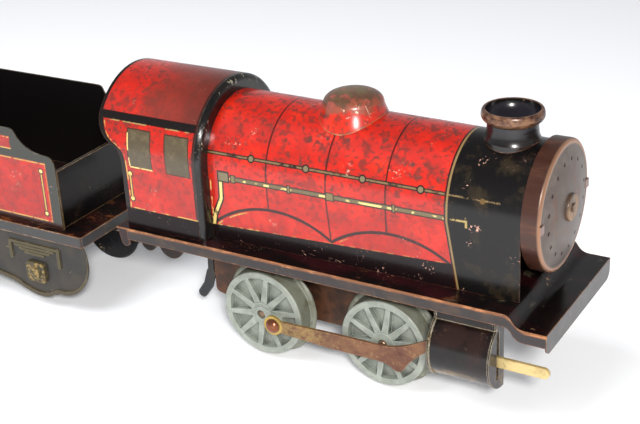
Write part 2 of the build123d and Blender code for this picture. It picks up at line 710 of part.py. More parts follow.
def brake_lever():
    """One flat lever with three arms: down to the finger end, up to the knob, forward to the brake."""
    px, pz = PILLARS[0]
    down = [
        (px, pz),
        (px - 5.6, pz - 1.4),
        (px - 8.2, pz - 5.0),
        (px - 8.5, pz - 11.5),
        (px - 10.2, pz - 16.6),
        (px - 12.6, pz - 20.0),
    ]
    up = [(px, pz), (px - 6.4, pz + 6.4), (px - 9.0, pz + 12.0), (px - 13.5, pz + 17.0)]
    brake = [(px, pz), (px + 9.0, pz + 1.2), (px + 17.0, pz + 2.0)]
    lever = across(px, pz, PILLAR_R + 1.6, *LEVER_LAYER)
    for arm, width in ((down, 2.2), (down[-3:], 3.4), (up, 2.6), (brake, 2.2)):
        lever += strip_along(arm, width, *LEVER_LAYER)
    knob_x, knob_z = up[-1]
    lever += across(knob_x, knob_z, 2.6, LEVER_LAYER[0] - 0.8, LEVER_LAYER[1] + 0.8)
    return lever - across(px, pz, PILLAR_R + GAP, -20, 0)


def headed_pin(x, z0, z1):
    """Rivet standing upright with a head at each end."""
    head = 0.7
    pin = upright(x, 0, DRAW_PIN_R - SEAT, z0 - head, z1 + head)
    return pin + upright(x, 0, 2.3, z0 - head, z0) + upright(x, 0, 2.3, z1, z1 + head)


def drag_bracket():
    """Tongue carried between the motor plates, with the drawbar pin at its rear end."""
    z0 = DRAW_Z + DRAW_T + 0.1
    tongue = block(PIN_LOCO_X, -41.0, -4.0, 4.0, z0, z0 + 1.0)
    tongue += upright(PIN_LOCO_X, 0, 4.0, z0, z0 + 1.0)
    tongue += block(-45.6, -41.0, -6.0, PLATE_IN, z0, z0 + 1.0)
    tongue += block(-45.6, -41.0, PLATE_IN - 1.0, PLATE_IN, z0, z0 + 3.6)
    return tongue - upright(PIN_LOCO_X, 0, DRAW_PIN_R, z0 - 5, z0 + 5)


def drawbar():
    """Strip on edge with two deeper lobes, and a flat eye bent over at each end."""
    z1 = DRAW_Z + DRAW_T
    web = outline(
        (PIN_TENDER_X + 3.0, z1),
        (PIN_TENDER_X + 3.0, DRAW_Z - 1.0),
        (-86.5, DRAW_Z - 2.4),
        (-79.0, DRAW_Z - 3.4),
        (-70.0, DRAW_Z - 2.0),
        (PIN_LOCO_X - 2.6, DRAW_Z - 0.5),
        (PIN_LOCO_X - 2.6, z1),
    )
    web += Pos(-82.8, 19.5) * Circle(3.2)
    web += Pos(-73.0, 20.0) * Ellipse(5.0, 4.7)
    web -= Pos(-80, z1 + 5) * Rectangle(60, 10)
    bar = slab_y(web, -0.5, 0.5)
    for x in (PIN_TENDER_X, PIN_LOCO_X):
        eye = upright(x, 0, 3.2, DRAW_Z, z1)
        inward = 4.0 if x < -80 else -4.0
        eye += block(x, x + inward, -1.6, 1.6, DRAW_Z, z1)
        bar += eye
    for x in (PIN_TENDER_X, PIN_LOCO_X):
        bar -= upright(x, 0, DRAW_PIN_R - SEAT + GAP, 0, 60)
    return bar


def tender_bracket(pin_x, inner_x):
    """Bent strip under the tender base that carries a pin."""
    z0 = DRAW_Z + DRAW_T + 0.1
    low, high = min(pin_x, inner_x), max(pin_x, inner_x)
    tongue = block(low, high, -4.0, 4.0, z0, z0 + 1.0)
    tongue += upright(pin_x, 0, 4.0, z0, z0 + 1.0)
    step = 1 if inner_x > pin_x else -1
    tongue += block(inner_x, inner_x - step, -4.0, 4.0, z0, TENDER_TOP - SHEET)
    tongue += block(inner_x, inner_x + 6.0 * step, -4.0, 4.0, TENDER_TOP - SHEET - 1.0, TENDER_TOP - SHEET)
    return tongue - upright(pin_x, 0, DRAW_PIN_R, z0 - 5, z0 + 5)


def rear_hook():
    z1 = DRAW_Z + DRAW_T
    eye = upright(HOOK_PIN_X, 0, 3.2, DRAW_Z, z1)
    shank = block(HOOK_PIN_X - 6.6, HOOK_PIN_X, -1.6, 1.6, DRAW_Z, z1)
    x = HOOK_REAR
    claw = outline(
        (x + 4.2, z1),
        (x + 4.2, DRAW_Z),
        (x + 1.6, DRAW_Z),
        (x, DRAW_Z + 1.8),
        (x, z1 + 4.6),
        (x + 1.1, z1 + 4.6),
        (x + 1.3, z1 + 1.2),
        (x + 2.2, z1),
    )
    hook = eye + shank + slab_y(claw, -1.6, 1.6)
    return hook - upright(HOOK_PIN_X, 0, DRAW_PIN_R - SEAT + GAP, 0, 60)


# ---------------------------------------------------------------- tender
def tender_base():
    """Shallow tray turned upside down: a flat top with four edges bent down."""
    tray = block(TENDER_REAR, TENDER_FRONT, -FOOT_HALF, FOOT_HALF, TENDER_TOP - VALANCE, TENDER_TOP)
    tray = fillet(tray.edges().filter_by(Axis.Z), 1.2)
    half = FOOT_HALF - SHEET
    inner = block(TENDER_REAR + SHEET, TENDER_FRONT - SHEET, -half, half, 0, TENDER_TOP - SHEET)
    return tray - inner


def tender_side_face():
    """Side outline in X and Z: high at the rear, sweeping down to a low front."""
    x0 = TENDER_BODY_FRONT
    z0 = TENDER_TOP
    low, high = TENDER_LOW_TOP, TENDER_SIDE_TOP
    edges = [
        Line((TENDER_BODY_REAR, z0), (x0, z0)),
        Line((x0, z0), (x0, low - 3.4)),
        Bezier((x0, low - 3.4), (x0 - 0.4, low - 0.4), (x0 - 2.0, low), (x0 - 3.6, low)),
        Bezier((x0 - 3.6, low), (x0 - 11.0, low + 0.2), (x0 - 14.6, low + 3.6), (x0 - 16.0, high - 2.0)),
        Bezier((x0 - 16.0, high - 2.0), (x0 - 16.6, high - 0.2), (x0 - 17.6, high), (x0 - 19.0, high)),
        Line((x0 - 19.0, high), (TENDER_BODY_REAR, high)),
        Line((TENDER_BODY_REAR, high), (TENDER_BODY_REAR, z0)),
    ]
    return make_face(Curve() + edges)


def tender_body():
    """Both sides and the rear in one bent sheet."""
    half = TENDER_BODY_HALF
    rear = TENDER_BODY_REAR
    solid = slab_y(tender_side_face(), -half, half)
    corners = [e for e in solid.edges().filter_by(Axis.Z) if e.center().X < rear + 1]
    solid = fillet(corners, 2.5)
    hollow = block(rear + SHEET, TENDER_FRONT + 5, -half + SHEET, half - SHEET, 0, 90)
    inner = [e for e in hollow.edges().filter_by(Axis.Z) if e.center().X < rear + 1]
    return solid - fillet(inner, 2.0)


def tender_panel():
    """Front panel between the sides, with narrow flanges bent forward along them."""
    half = TENDER_BODY_HALF - SHEET
    x = TENDER_PANEL_X
    panel = block(x - SHEET, x, -half, half, TENDER_TOP, TENDER_PANEL_TOP)
    for side in (-1, 1):
        flange_top = TENDER_PANEL_TOP + 0.6
        panel += block(x - SHEET, x + 0.9, side * half, side * (half - SHEET), TENDER_TOP, flange_top)
    panel += block(x - 1.3, x, -half, half, TENDER_PANEL_TOP - SHEET, TENDER_PANEL_TOP)
    return panel


def frame_face():
    """Side frame outline in X and Z, wavy below and straight on top."""
    m = TENDER_MID
    z1 = TENDER_TOP - SHEET
    right = [
        (m, 9.6), (m + 6.0, 8.6), (m + 13.0, 7.4), (m + 19.0, 5.2), (m + 25.0, 3.9),
        (m + 30.0, 4.7), (m + 33.2, 6.3), (m + 36.5, 6.6), (m + 40.5, 7.6), (m + 44.6, 10.4),
        (m + 47.5, 14.6), (m + 48.8, 19.0), (m + 48.6, 23.4), (m + 47.4, 27.6), (m + 46.6, z1),
    ]
    left = [(2 * m - x, z) for x, z in reversed(right[1:])]
    lower = Spline(*left, *right)
    close = Line((2 * m - right[-1][0], right[-1][1]), right[-1])
    return make_face(Curve() + [lower, close])


def tender_frame(side):
    """Pressed side frame: plate, rolled lower lip, springs and axle-box covers."""
    y0, y1 = FRAME_Y, FRAME_Y + SHEET
    whole = frame_face()
    plate = slab_y(whole, side * y0, side * y1)
    plate += slab_y(whole - Pos(0, 1.5) * frame_face(), side * y1, side * (y1 + 0.45))
    for x in TENDER_AXLES:
        cover = Pos(x, TENDER_AXLE_Z + 0.6)
        plate += slab_y(cover * RectangleRounded(8.4, 7.6, 1.4), side * y1, side * (y1 + 1.2))
        plate += slab_y(cover * Circle(2.2), side * (y1 + 1.1), side * (y1 + 1.8))
        for n in range(4):
            leaf = Pos(x, 23.6 - 1.15 * n) * SlotOverall(23.0 - 4.6 * n, 0.95)
            plate += slab_y(leaf, side * (y1 - 0.1), side * (y1 + 0.5))
        for dx in (-11.0, 11.0):
            hanger = Pos(x + dx, 20.4) * RectangleRounded(1.3, 7.4, 0.4)
            plate += slab_y(hanger, side * (y1 - 0.1), side * (y1 + 0.5))
        plate -= across(x, TENDER_AXLE_Z, TENDER_AXLE_R + GAP, side * (y0 - 1), side * (y1 + 0.9))
    # inside the base tray the frame is only a flat plate, and clear of the tray's end walls
    hidden = TENDER_TOP - VALANCE - 0.1
    plate -= block(-300, 0, side * (FRAME_Y + SHEET + 0.02), side * 40, hidden, 60)
    plate -= block(TENDER_FRONT - SHEET - 0.3, TENDER_FRONT + 5, -40, 40, hidden, 60)
    plate -= block(TENDER_REAR - 5, TENDER_REAR + SHEET + 0.3, -40, 40, hidden, 60)
    return plate


def tender_wheel(x, side):
    """Pressed disc wheel, dished on its outer face."""
    face = WHEEL_FACE
    r = TENDER_AXLE_R + SEAT
    section = [
        (r, FLANGE_IN), (TENDER_FLANGE_R - 0.5, FLANGE_IN), (TENDER_FLANGE_R, FLANGE_IN + 0.5),
        (TENDER_FLANGE_R, FLANGE_IN + 0.9), (TENDER_TREAD_R + 0.3, FLANGE_OUT), (TENDER_TREAD_R, face - 0.3),
        (TENDER_TREAD_R - 0.3, face), (9.6, face), (8.9, face - 1.6), (3.4, face - 2.0),
        (2.9, face - 0.2), (r, face - 0.2),
    ]
    return turned_y(section, x, TENDER_AXLE_Z, side)


# ---------------------------------------------------------------- build every node
os.makedirs("parts", exist_ok=True)

save("footplate", footplate())
save("boiler_shell", boiler_shell())
save("smokebox_door", smokebox_door())
save("chimney", chimney())
save("dome", dome())
save("cab_shell", cab_shell())
save("cab_front", cab_front())
save("motor_pillars", motor_pillars())
save("pillar_screws", pillar_screws())
save("footplate_screws", footplate_screws())
save("mainspring", mainspring())
save("drag_bracket", drag_bracket())
save("loco_drawbar_pin", headed_pin(PIN_LOCO_X, DRAW_Z, DRAW_Z + DRAW_T + 1.1))

save("great_wheel", great_wheel())
save("click_pin", click_pin())
save("click", click())
save("winding_arbor", winding_arbor())
save("ratchet_wheel", ratchet_wheel())

mid_to_axle = bearing_angle(MID_CENTRE, REAR_CENTRE)
mid_to_great = bearing_angle(MID_CENTRE, GREAT_CENTRE)
wheel_phase = mid_to_axle + 180 / MID_WHEEL_TEETH
pinion_phase = mid_to_great + 180 / MID_PINION_TEETH
pinion_layer = (GREAT_LAYER[0] - 0.3, -6.7)
axle_layer = (MID_LAYER[0] - 0.3, MID_LAYER[1] + 0.4)
save("mid_arbor", mid_arbor())
save("mid_wheel", gear(MID_WHEEL_TEETH, wheel_phase, MID_CENTRE, *MID_LAYER, MID_ARBOR_R + SEAT))
save("mid_pinion", gear(MID_PINION_TEETH, pinion_phase, MID_CENTRE, *pinion_layer, MID_ARBOR_R + SEAT))
save("axle_pinion", gear(AXLE_PINION_TEETH, mid_to_axle + 180, REAR_CENTRE, *axle_layer, AXLE_R + SEAT))

save("rear_axle", axle(REAR_AXLE_X, AXLE_Z, AXLE_R, WHEEL_FACE + 0.6))
save("front_axle", axle(FRONT_AXLE_X, AXLE_Z, AXLE_R, WHEEL_FACE + 1.1))
for name, side in SIDES:
    save(f"motor_plate_{name}", motor_plate(side))
    save(f"cylinder_{name}", cylinder(side))
    save(f"rear_wheel_{name}", loco_wheel(REAR_AXLE_X, side, True))
    save(f"front_wheel_{name}", loco_wheel(FRONT_AXLE_X, side, False))
    save(f"crank_pin_{name}", crank_pin(side))
    save(f"rod_{name}", rod(side))
save("brake_lever", brake_lever())

save("drawbar", drawbar())
save("tender_base", tender_base())
save("tender_body", tender_body())
save("tender_panel", tender_panel())
save("tender_front_bracket", tender_bracket(PIN_TENDER_X, -102.0))
save("tender_rear_bracket", tender_bracket(HOOK_PIN_X, -178.0))
save("tender_drawbar_pin", headed_pin(PIN_TENDER_X, DRAW_Z, DRAW_Z + DRAW_T + 1.1))
save("tender_hook_pin", headed_pin(HOOK_PIN_X, DRAW_Z, DRAW_Z + DRAW_T + 1.1))
save("rear_hook", rear_hook())
for name, side in SIDES:
    save(f"tender_frame_{name}", tender_frame(side))
for end, x in zip(("front", "rear"), TENDER_AXLES):
    save(f"tender_axle_{end}", axle(x, TENDER_AXLE_Z, TENDER_AXLE_R, FRAME_Y + SHEET + 0.6))
    for name, side in SIDES:
        save(f"tender_wheel_{end}_{name}", tender_wheel(x, side))
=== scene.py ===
from math import cos, radians, sin

import bpy
from mathutils import Matrix, Vector

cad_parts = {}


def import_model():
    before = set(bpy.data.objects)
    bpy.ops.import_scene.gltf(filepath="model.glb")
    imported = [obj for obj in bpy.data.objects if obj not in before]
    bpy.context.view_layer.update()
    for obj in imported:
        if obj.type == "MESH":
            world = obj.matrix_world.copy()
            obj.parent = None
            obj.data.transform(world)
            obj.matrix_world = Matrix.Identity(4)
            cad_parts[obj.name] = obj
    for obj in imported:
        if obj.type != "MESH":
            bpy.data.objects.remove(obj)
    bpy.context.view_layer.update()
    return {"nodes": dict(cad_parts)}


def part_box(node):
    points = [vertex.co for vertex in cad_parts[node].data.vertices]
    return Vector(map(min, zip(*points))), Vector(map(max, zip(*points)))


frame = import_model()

# Looks of a lithographed tinplate train. Inside the materials every length is in millimetres, in
# the frame of the CAD model: +X forward, +Y to the train's left, +Z up, 0 on the floor. Printed
# details are placed along x from the middle of the wheelbase.

MM = 0.001


# ---------------------------------------------------------------- places read from the frame
def lowest(node):
    """Lowest corner of a CAD node, in millimetres."""
    return Vector(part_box(node)[0]) / MM


def highest(node):
    return Vector(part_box(node)[1]) / MM


def middle(node):
    return (lowest(node) + highest(node)) / 2


MID = (middle("rear_axle").x + middle("front_axle").x) / 2      # middle of the wheelbase
BOILER_REAR = lowest("boiler_shell").x
BOILER_R = highest("boiler_shell").y                            # at its rear end
BOILER_TAPER = 0.0092                                           # radius lost per millimetre forward
AXIS_Z = highest("boiler_shell").z - BOILER_R                   # height of the boiler's axis
FOOT_HIGH = highest("footplate")
CAB_R = highest("cab_shell").y
CHIMNEY_TOP = highest("chimney").z
DOME_TOP = highest("dome").z
CYLINDER_BOTTOM = lowest("cylinder_right").z
TENDER_REAR = lowest("tender_body").x - MID
TENDER_HIGH = highest("tender_body")
BASE_HIGH = highest("tender_base")


# ---------------------------------------------------------------- shader building blocks
def rgb(code):
    """Linear colour from a six-digit screen colour."""
    parts = [int(code[i:i + 2], 16) / 255 for i in (0, 2, 4)]
    linear = [part / 12.92 if part <= 0.04045 else ((part + 0.055) / 1.055) ** 2.4 for part in parts]
    return (*linear, 1.0)


class Field:
    """A number that varies over a surface: a node socket with arithmetic."""

    def __init__(self, tree, socket):
        self.tree = tree
        self.socket = socket

    def op(self, kind, *others):
        node = self.tree.nodes.new("ShaderNodeMath")
        node.operation = kind
        for slot, value in zip(node.inputs, (self, *others)):
            feed(self.tree, slot, value)
        return Field(self.tree, node.outputs[0])

    def __add__(self, other):
        return self.op("ADD", other)

    def __sub__(self, other):
        return self.op("SUBTRACT", other)

    def __rsub__(self, other):
        return self.op("MULTIPLY", -1.0).op("ADD", other)

    def __mul__(self, other):
        return self.op("MULTIPLY", other)

    def __truediv__(self, other):
        return self.op("DIVIDE", other)

    def __abs__(self):
        return self.op("ABSOLUTE")

    def both(self, other):
        """Where both masks are on."""
        return self.op("MULTIPLY", other)

    def either(self, other):
        return self.op("MAXIMUM", other)

    def least(self, other):
        return self.op("MINIMUM", other)

    def rise(self, low, high):
        """0 below low, 1 above high, smooth between."""
        node = self.tree.nodes.new("ShaderNodeMapRange")
        node.interpolation_type = "SMOOTHSTEP"
        feed(self.tree, node.inputs["Value"], self)
        node.inputs["From Min"].default_value = low
        node.inputs["From Max"].default_value = high
        return Field(self.tree, node.outputs[0])

    def fall(self, low, high):
        return 1.0 - self.rise(low, high)


def feed(tree, slot, value):
    """Link a field or socket into a slot, or set the number there."""
    if isinstance(value, Field):
        tree.links.new(value.socket, slot)
    elif isinstance(value, bpy.types.NodeSocket):
        tree.links.new(value, slot)
    else:
        slot.default_value = value


LINE_BLUR = 0.12        # how soft the edge of a printed line is


def length(across, up):
    """Length of a vector, from its two components."""
    return (across.op("MULTIPLY", across) + up.op("MULTIPLY", up)).op("SQRT")


def line(distance, half):
    """Where a distance field is within half of zero."""
    return abs(distance).fall(half - LINE_BLUR, half + LINE_BLUR)


def within(field, low, high, blur=LINE_BLUR):
    return field.rise(low - blur, low + blur).both(field.fall(high - blur, high + blur))


def patch(x, z, sides):
    """A printed rectangle, from its two x and its two z limits."""
    return within(x, *sides[0]).both(within(z, *sides[1]))


def outermost(field, limit):
    """Where a coordinate is at the outermost face of a node."""
    return field.rise(limit - 0.3, limit - 0.1)


SEED_STEP = (17.3, 31.7, 11.9)          # how far apart the noises of neighbouring seeds are taken
TWIST_SHARE = (0.3, 1.0, 0.2)           # how much of a twist goes to each axis
COAT_ROUGH = 0.12
BEVEL_SAMPLES = 4
# samples for the painted shade in recesses
RECESS_SHADE_SAMPLES = 6


class Paint:
    """One material: coordinates in millimetres, patterns, and layers laid over each other."""

    def __init__(self, name, colour, rough, metal=0.0, gloss=0.5, coat=0.0):
        self.material = bpy.data.materials.new(name)
        self.material.use_nodes = True
        self.tree = self.material.node_tree
        self.shader = self.tree.nodes["Principled BSDF"]
        self.shader.inputs["Coat Weight"].default_value = coat
        self.shader.inputs["Coat Roughness"].default_value = COAT_ROUGH
        self.now = {
            "Base Color": rgb(colour),
            "Roughness": rough,
            "Metallic": metal,
            "Specular IOR Level": gloss,
        }
        self.height = None
        coordinates = self.tree.nodes.new("ShaderNodeTexCoord")
        scaled = self.tree.nodes.new("ShaderNodeVectorMath")
        scaled.operation = "SCALE"
        scaled.inputs["Scale"].default_value = 1 / MM
        self.tree.links.new(coordinates.outputs["Object"], scaled.inputs[0])
        self.place = scaled.outputs[0]
        apart = self.tree.nodes.new("ShaderNodeSeparateXYZ")
        self.tree.links.new(self.place, apart.inputs[0])
        self.x, self.y, self.z = (Field(self.tree, out) for out in apart.outputs)

    def noise(self, size, detail=2.0, rough=0.55, seed=0.0, stretch=(1, 1, 1), twist=0.0):
        """Cloudy noise about 0.5, with blobs about size millimetres across."""
        mapping = self.tree.nodes.new("ShaderNodeMapping")
        mapping.vector_type = "TEXTURE"
        mapping.inputs["Location"].default_value = tuple(seed * step for step in SEED_STEP)
        mapping.inputs["Rotation"].default_value = tuple(twist * share for share in TWIST_SHARE)
        mapping.inputs["Scale"].default_value = tuple(size * factor for factor in stretch)
        node = self.tree.nodes.new("ShaderNodeTexNoise")
        node.inputs["Scale"].default_value = 1.0
        node.inputs["Detail"].default_value = detail
        node.inputs["Roughness"].default_value = rough
        self.tree.links.new(self.place, mapping.inputs[0])
        self.tree.links.new(mapping.outputs[0], node.inputs["Vector"])
        return Field(self.tree, node.outputs["Fac"])

    def rim(self, radius):
        """1 on sharp edges, 0 on open faces, over about radius millimetres."""
        bevel = self.tree.nodes.new("ShaderNodeBevel")
        bevel.samples = BEVEL_SAMPLES
        bevel.inputs["Radius"].default_value = radius * MM
        flat = self.tree.nodes.new("ShaderNodeNewGeometry")
        dot = self.tree.nodes.new("ShaderNodeVectorMath")
        dot.operation = "DOT_PRODUCT"
        self.tree.links.new(bevel.outputs[0], dot.inputs[0])
        self.tree.links.new(flat.outputs["Normal"], dot.inputs[1])
        return (1.0 - Field(self.tree, dot.outputs["Value"])).rise(0.01, 0.16)

    def recess_shade(self, distance):
        """Painted shade: 1 in corners and recesses, where shade falls, 0 in the open."""
        node = self.tree.nodes.new("ShaderNodeAmbientOcclusion")
        node.samples = RECESS_SHADE_SAMPLES
        node.only_local = True
        node.inputs["Distance"].default_value = distance * MM
        return 1.0 - Field(self.tree, node.outputs["AO"])

    def layer(self, mask, colour=None, rough=None, metal=None, gloss=None):
        """Lay a colour and a finish over what is there, as far as the mask says."""
        if colour is not None:
            node = self.tree.nodes.new("ShaderNodeMix")
            node.data_type = "RGBA"
            feed(self.tree, node.inputs[0], mask)
            feed(self.tree, node.inputs[6], self.now["Base Color"])
            feed(self.tree, node.inputs[7], rgb(colour))
            self.now["Base Color"] = node.outputs[2]
        finish = (("Roughness", rough), ("Metallic", metal), ("Specular IOR Level", gloss))
        for channel, value in finish:
            if value is None:
                continue
            node = self.tree.nodes.new("ShaderNodeMix")
            feed(self.tree, node.inputs[0], mask)
            feed(self.tree, node.inputs[2], self.now[channel])
            feed(self.tree, node.inputs[3], value)
            self.now[channel] = node.outputs[0]

    def relief(self, field, depth):
        """Add to the surface's height, in millimetres."""
        part = field * (depth * MM)
        self.height = part if self.height is None else self.height + part

    def done(self, soft=0.15):
        """Link everything to the shader; soft is the radius that edges catch the light on."""
        for channel, value in self.now.items():
            feed(self.tree, self.shader.inputs[channel], value)
        bevel = self.tree.nodes.new("ShaderNodeBevel")
        bevel.samples = BEVEL_SAMPLES
        bevel.inputs["Radius"].default_value = soft * MM
        normal = bevel.outputs[0]
        if self.height is not None:
            bump = self.tree.nodes.new("ShaderNodeBump")
            bump.inputs["Distance"].default_value = 1.0
            feed(self.tree, bump.inputs["Height"], self.height)
            self.tree.links.new(normal, bump.inputs["Normal"])
            normal = bump.outputs[0]
        self.tree.links.new(normal, self.shader.inputs["Normal"])
        return self.material

    def hoop(self, x, z, radius):
        """Signed distance from a circle, positive outside."""
        return length(self.x - x, self.z - z) - radius

    def disc(self, x, z, radius):
        """Mask of a filled circle."""
        return self.hoop(x, z, radius).fall(-LINE_BLUR, LINE_BLUR)

    def stroke(self, start, end):
        """Distance from a straight stretch between two (x, z) points."""
        dx, dz = end[0] - start[0], end[1] - start[1]
        rx, rz = self.x - start[0], self.z - start[1]
        along = (rx * dx + rz * dz) / (dx * dx + dz * dz)
        along = along.op("MAXIMUM", 0.0).op("MINIMUM", 1.0)
        ax, az = rx - along * dx, rz - along * dz
        return length(ax, az)


# ---------------------------------------------------------------- shared wear
def red_ground(paint):
    """Aged red print: a cloudy tone, brown blots and small dark spots, thickest in patches."""
    cloud = paint.noise(9.0, 3.0, 0.6, seed=1)
    paint.layer(cloud.rise(0.40, 0.66) * 0.60, "8a1c14")
    paint.layer(cloud.fall(0.32, 0.48) * 0.45, "c22c12")
    patches = paint.noise(12.0, 2.0, 0.5, seed=3).rise(0.34, 0.58)
    patches = patches * (paint.z.rise(52.0, 72.0) * 0.65 + 0.35)
    blots = paint.noise(2.6, 3.0, 0.6, seed=2)
    paint.layer(blots.rise(0.50, 0.60).both(patches) * 0.72, "55221a", rough=0.38)
    spots = paint.noise(1.5, 2.0, 0.55, seed=4)
    upward = paint.z.rise(50.0, 70.0) * 0.35 + 0.25
    paint.layer(spots.rise(0.54, 0.62) * upward, "521c15", rough=0.38)
    paint.layer(spots.rise(0.61, 0.68).both(patches) * 0.6, "42302a", rough=0.42)


HAIR_TURNS = (0.35, 1.15, 2.3)          # radians; each is one direction of scratches


def chips(paint, colour, amount=1.0, seed=0.0, spread=0.66):
    """Small flaked specks gathered in a few clusters, and a few fine hairline scratches."""
    zone = paint.noise(7.5, 1.0, 0.5, seed=seed + 7).rise(spread, spread + 0.05)
    specks = paint.noise(0.9, 3.0, 0.65, seed=seed + 6).rise(0.60, 0.64)
    mask = specks.both(zone)
    where = paint.noise(11.0, 1.0, 0.5, seed=seed + 5).rise(0.60, 0.64)
    for number, twist in enumerate(HAIR_TURNS):
        hair = paint.noise(1.0, 1.0, 0.4, seed=seed + number, stretch=(9, 0.22, 0.22), twist=twist)
        mask = mask.either(hair.rise(0.745, 0.765).both(where))
    mask = mask * amount
    paint.layer(mask, colour, rough=0.5)
    paint.relief(mask, -0.02)


def worn_rim(paint, colour, under, radius=0.7, seed=0.0, reach=0.0):
    """Edges rubbed through to the under colour, with a rim of the worn colour round that."""
    edge = paint.rim(radius)
    patchy = paint.noise(2.6, 4.0, 0.7, seed=seed + 11)
    amount = edge + (patchy - 0.5) * 2.2 + reach
    paint.layer(amount.rise(0.60, 0.95).both(edge.rise(0.05, 0.4)) * 0.85, colour, rough=0.42)
    bare = amount.rise(1.10, 1.35).both(edge.rise(0.4, 0.8))
    paint.layer(bare * 0.8, under, rough=0.36, metal=0.5)


def dents(paint, depth=0.10, size=9.0, seed=0.0):
    """The gentle unevenness of pressed sheet, and the fine skin of its enamel."""
    paint.relief(paint.noise(size, 1.0, 0.5, seed=seed + 21), depth)
    paint.relief(paint.noise(0.5, 2.0, 0.5, seed=seed + 22), 0.004)


# ---------------------------------------------------------------- materials: locomotive
RED = "b01a0c"
DARK_LINE = "2a0a07"
RAIL_BROWN = "1d0d09"
CAB_RAIL_BROWN = "2c120c"
TENDER_RAIL_BROWN = "3a140c"
FOOT_BLACK = "110809"
BORDER_BLACK = "15100d"
CHIP_PINK = "cfa08c"
GOLD = "b8964c"
YELLOW = "d8be74"
OLIVE = "6b6046"


def shell_radius(paint):
    """Distance from the boiler's axis above it, and from the middle plane below it."""
    return length(paint.y, (paint.z - AXIS_Z).op("MAXIMUM", 0.0))


BOILER_BANDS = ((-18.4, 0.03), (2.4, 0.09), (22.4, 0.03))               # places and lean
SHOULDER_Z = 60.0                                                       # bands lean below it
RAIL_Z = 68.2
RAIL_END = 57.6
KNOBS = (-23.9, -4.5, 14.7, 33.5, 52.6)
PIPE_Z = 60.8
PIPE_SLOPE = 0.0076
PIPE_ENDS = (-31.9, 48.2)
COUPLINGS = ((-30.7, 1.0), (-10.5, 0.7), (3.8, 1.5), (25.1, 0.7))       # places and half lengths
ELBOW = ((-36.5, -32.0), (58.9, 62.8))
ELBOW_CORE = ((-36.0, -32.5), (59.4, 62.2))
DOWNPIPE = ((-35.4, 58.8), (-35.6, 53.2), (-38.3, 47.4), (-39.4, 42.2))
PIPE_TIP_Z = 61.15
PIPE_TIP = ((47.6, 48.3), (59.2, 62.4))
SPLASHERS = ((-16.5, 35.0, 52.35), (23.9, 34.0, 52.45))                 # middle, radius, top
SPLASHER_MEET = 4.05
SPLASHER_SPANS = ((-39.6, SPLASHER_MEET, -27.0), (SPLASHER_MEET, 43.4, 8.0))     # ends, gilt as far as
COLLAR_LINE_X = -39.2
FOOT_LINE_Z = 45.07
FOOT_LINE_SLOPE = 0.0376
JOINT_X = 41.85                                                         # where the smokebox begins
JOINT_LEAN = 0.17
INK = "1a0f08"


def splasher_arcs(paint, x, dull):
    """Printed wheel arches, with what is left of a gold line under each; returns what lies above."""
    arcs = [paint.hoop(MID + at, top - radius, radius) for at, radius, top in SPLASHERS]
    for arc, (left, right, gilt) in zip(arcs, SPLASHER_SPANS):
        here = within(x, left, right)
        gold = line(arc + 1.0, 0.22).both(here).both(x.fall(gilt - 3, gilt + 3))
        paint.layer(gold.both(dull.rise(0.42, 0.55)), GOLD)
        paint.layer(line(arc, 0.50).both(here), DARK_LINE)
    return arcs[0].least(arcs[1]).rise(-0.2, 0.2)


def exhaust_pipe(paint, x, z, dull):
    """Printed pipe with couplings, its elbow and the pipe down to the splasher."""
    pipe = z - x * PIPE_SLOPE - PIPE_Z
    run = within(x, *PIPE_ENDS)
    paint.layer(line(pipe, 0.95).both(run), INK)
    paint.layer(line(pipe, 0.58).both(run), "5f5338")
    yellow = paint.noise(2.0, 2.0, 0.6, seed=12, stretch=(2.2, 3, 3)).rise(0.52, 0.58)
    paint.layer(line(pipe + 0.12, 0.34).both(run).both(yellow), YELLOW)
    for at, half in COUPLINGS:
        here = within(x, at - half, at + half)
        paint.layer(line(pipe, 1.45).both(here), INK)
        core = within(x, at - half + 0.35, at + half - 0.35)
        paint.layer(line(pipe, 1.1).both(core), "6b5e3c")
    drop = None
    for start, end in zip(DOWNPIPE, DOWNPIPE[1:]):
        near = paint.stroke((MID + start[0], start[1]), (MID + end[0], end[1]))
        drop = near if drop is None else drop.least(near)
    paint.layer(drop.fall(0.95, 1.2), INK)
    paint.layer(drop.fall(0.40, 0.62), YELLOW)
    paint.layer(drop.fall(0.40, 0.62).both(dull.rise(0.56, 0.62)), "6e5f3a")
    paint.layer(patch(x, z, ELBOW), INK)
    paint.layer(patch(x, z, ELBOW_CORE), OLIVE)


def below_shoulder(z):
    """How far below the boiler's shoulder, where it turns straight down."""
    return (SHOULDER_Z - z).op("MAXIMUM", 0.0)


def smokebox(paint, x, z):
    """Black in front of a brown and a gold line, with the worn end of the rail and the pipe."""
    joint = x - JOINT_X - below_shoulder(z) * JOINT_LEAN
    paint.layer(line(joint + 0.45, 0.35), DARK_LINE)
    paint.layer(line(joint - 0.1, 0.34), "77623c")
    front = joint.rise(0.25, 0.5)
    tone = paint.noise(7.0, 3.0, 0.6, seed=13)
    paint.layer(front, "0b0909", rough=0.24, gloss=0.3)
    paint.layer(front.both(tone.rise(0.48, 0.70)) * 0.8, "2a2114", rough=0.36)
    along = x.fall(RAIL_END, RAIL_END + 0.4).both(front)
    worn = paint.noise(1.5, 3.0, 0.65, seed=14).rise(0.42, 0.52)
    paint.layer(line(z - RAIL_Z, 0.24).both(along).both(worn), "6e5a3c")
    paint.layer(paint.disc(MID + KNOBS[-1], RAIL_Z - 0.2, 0.8), "5a4526")
    end = line(z - PIPE_TIP_Z, 0.32).both(within(x, 43.0, 48.0))
    paint.layer(end.either(patch(x, z, PIPE_TIP)).both(worn), "94804e")


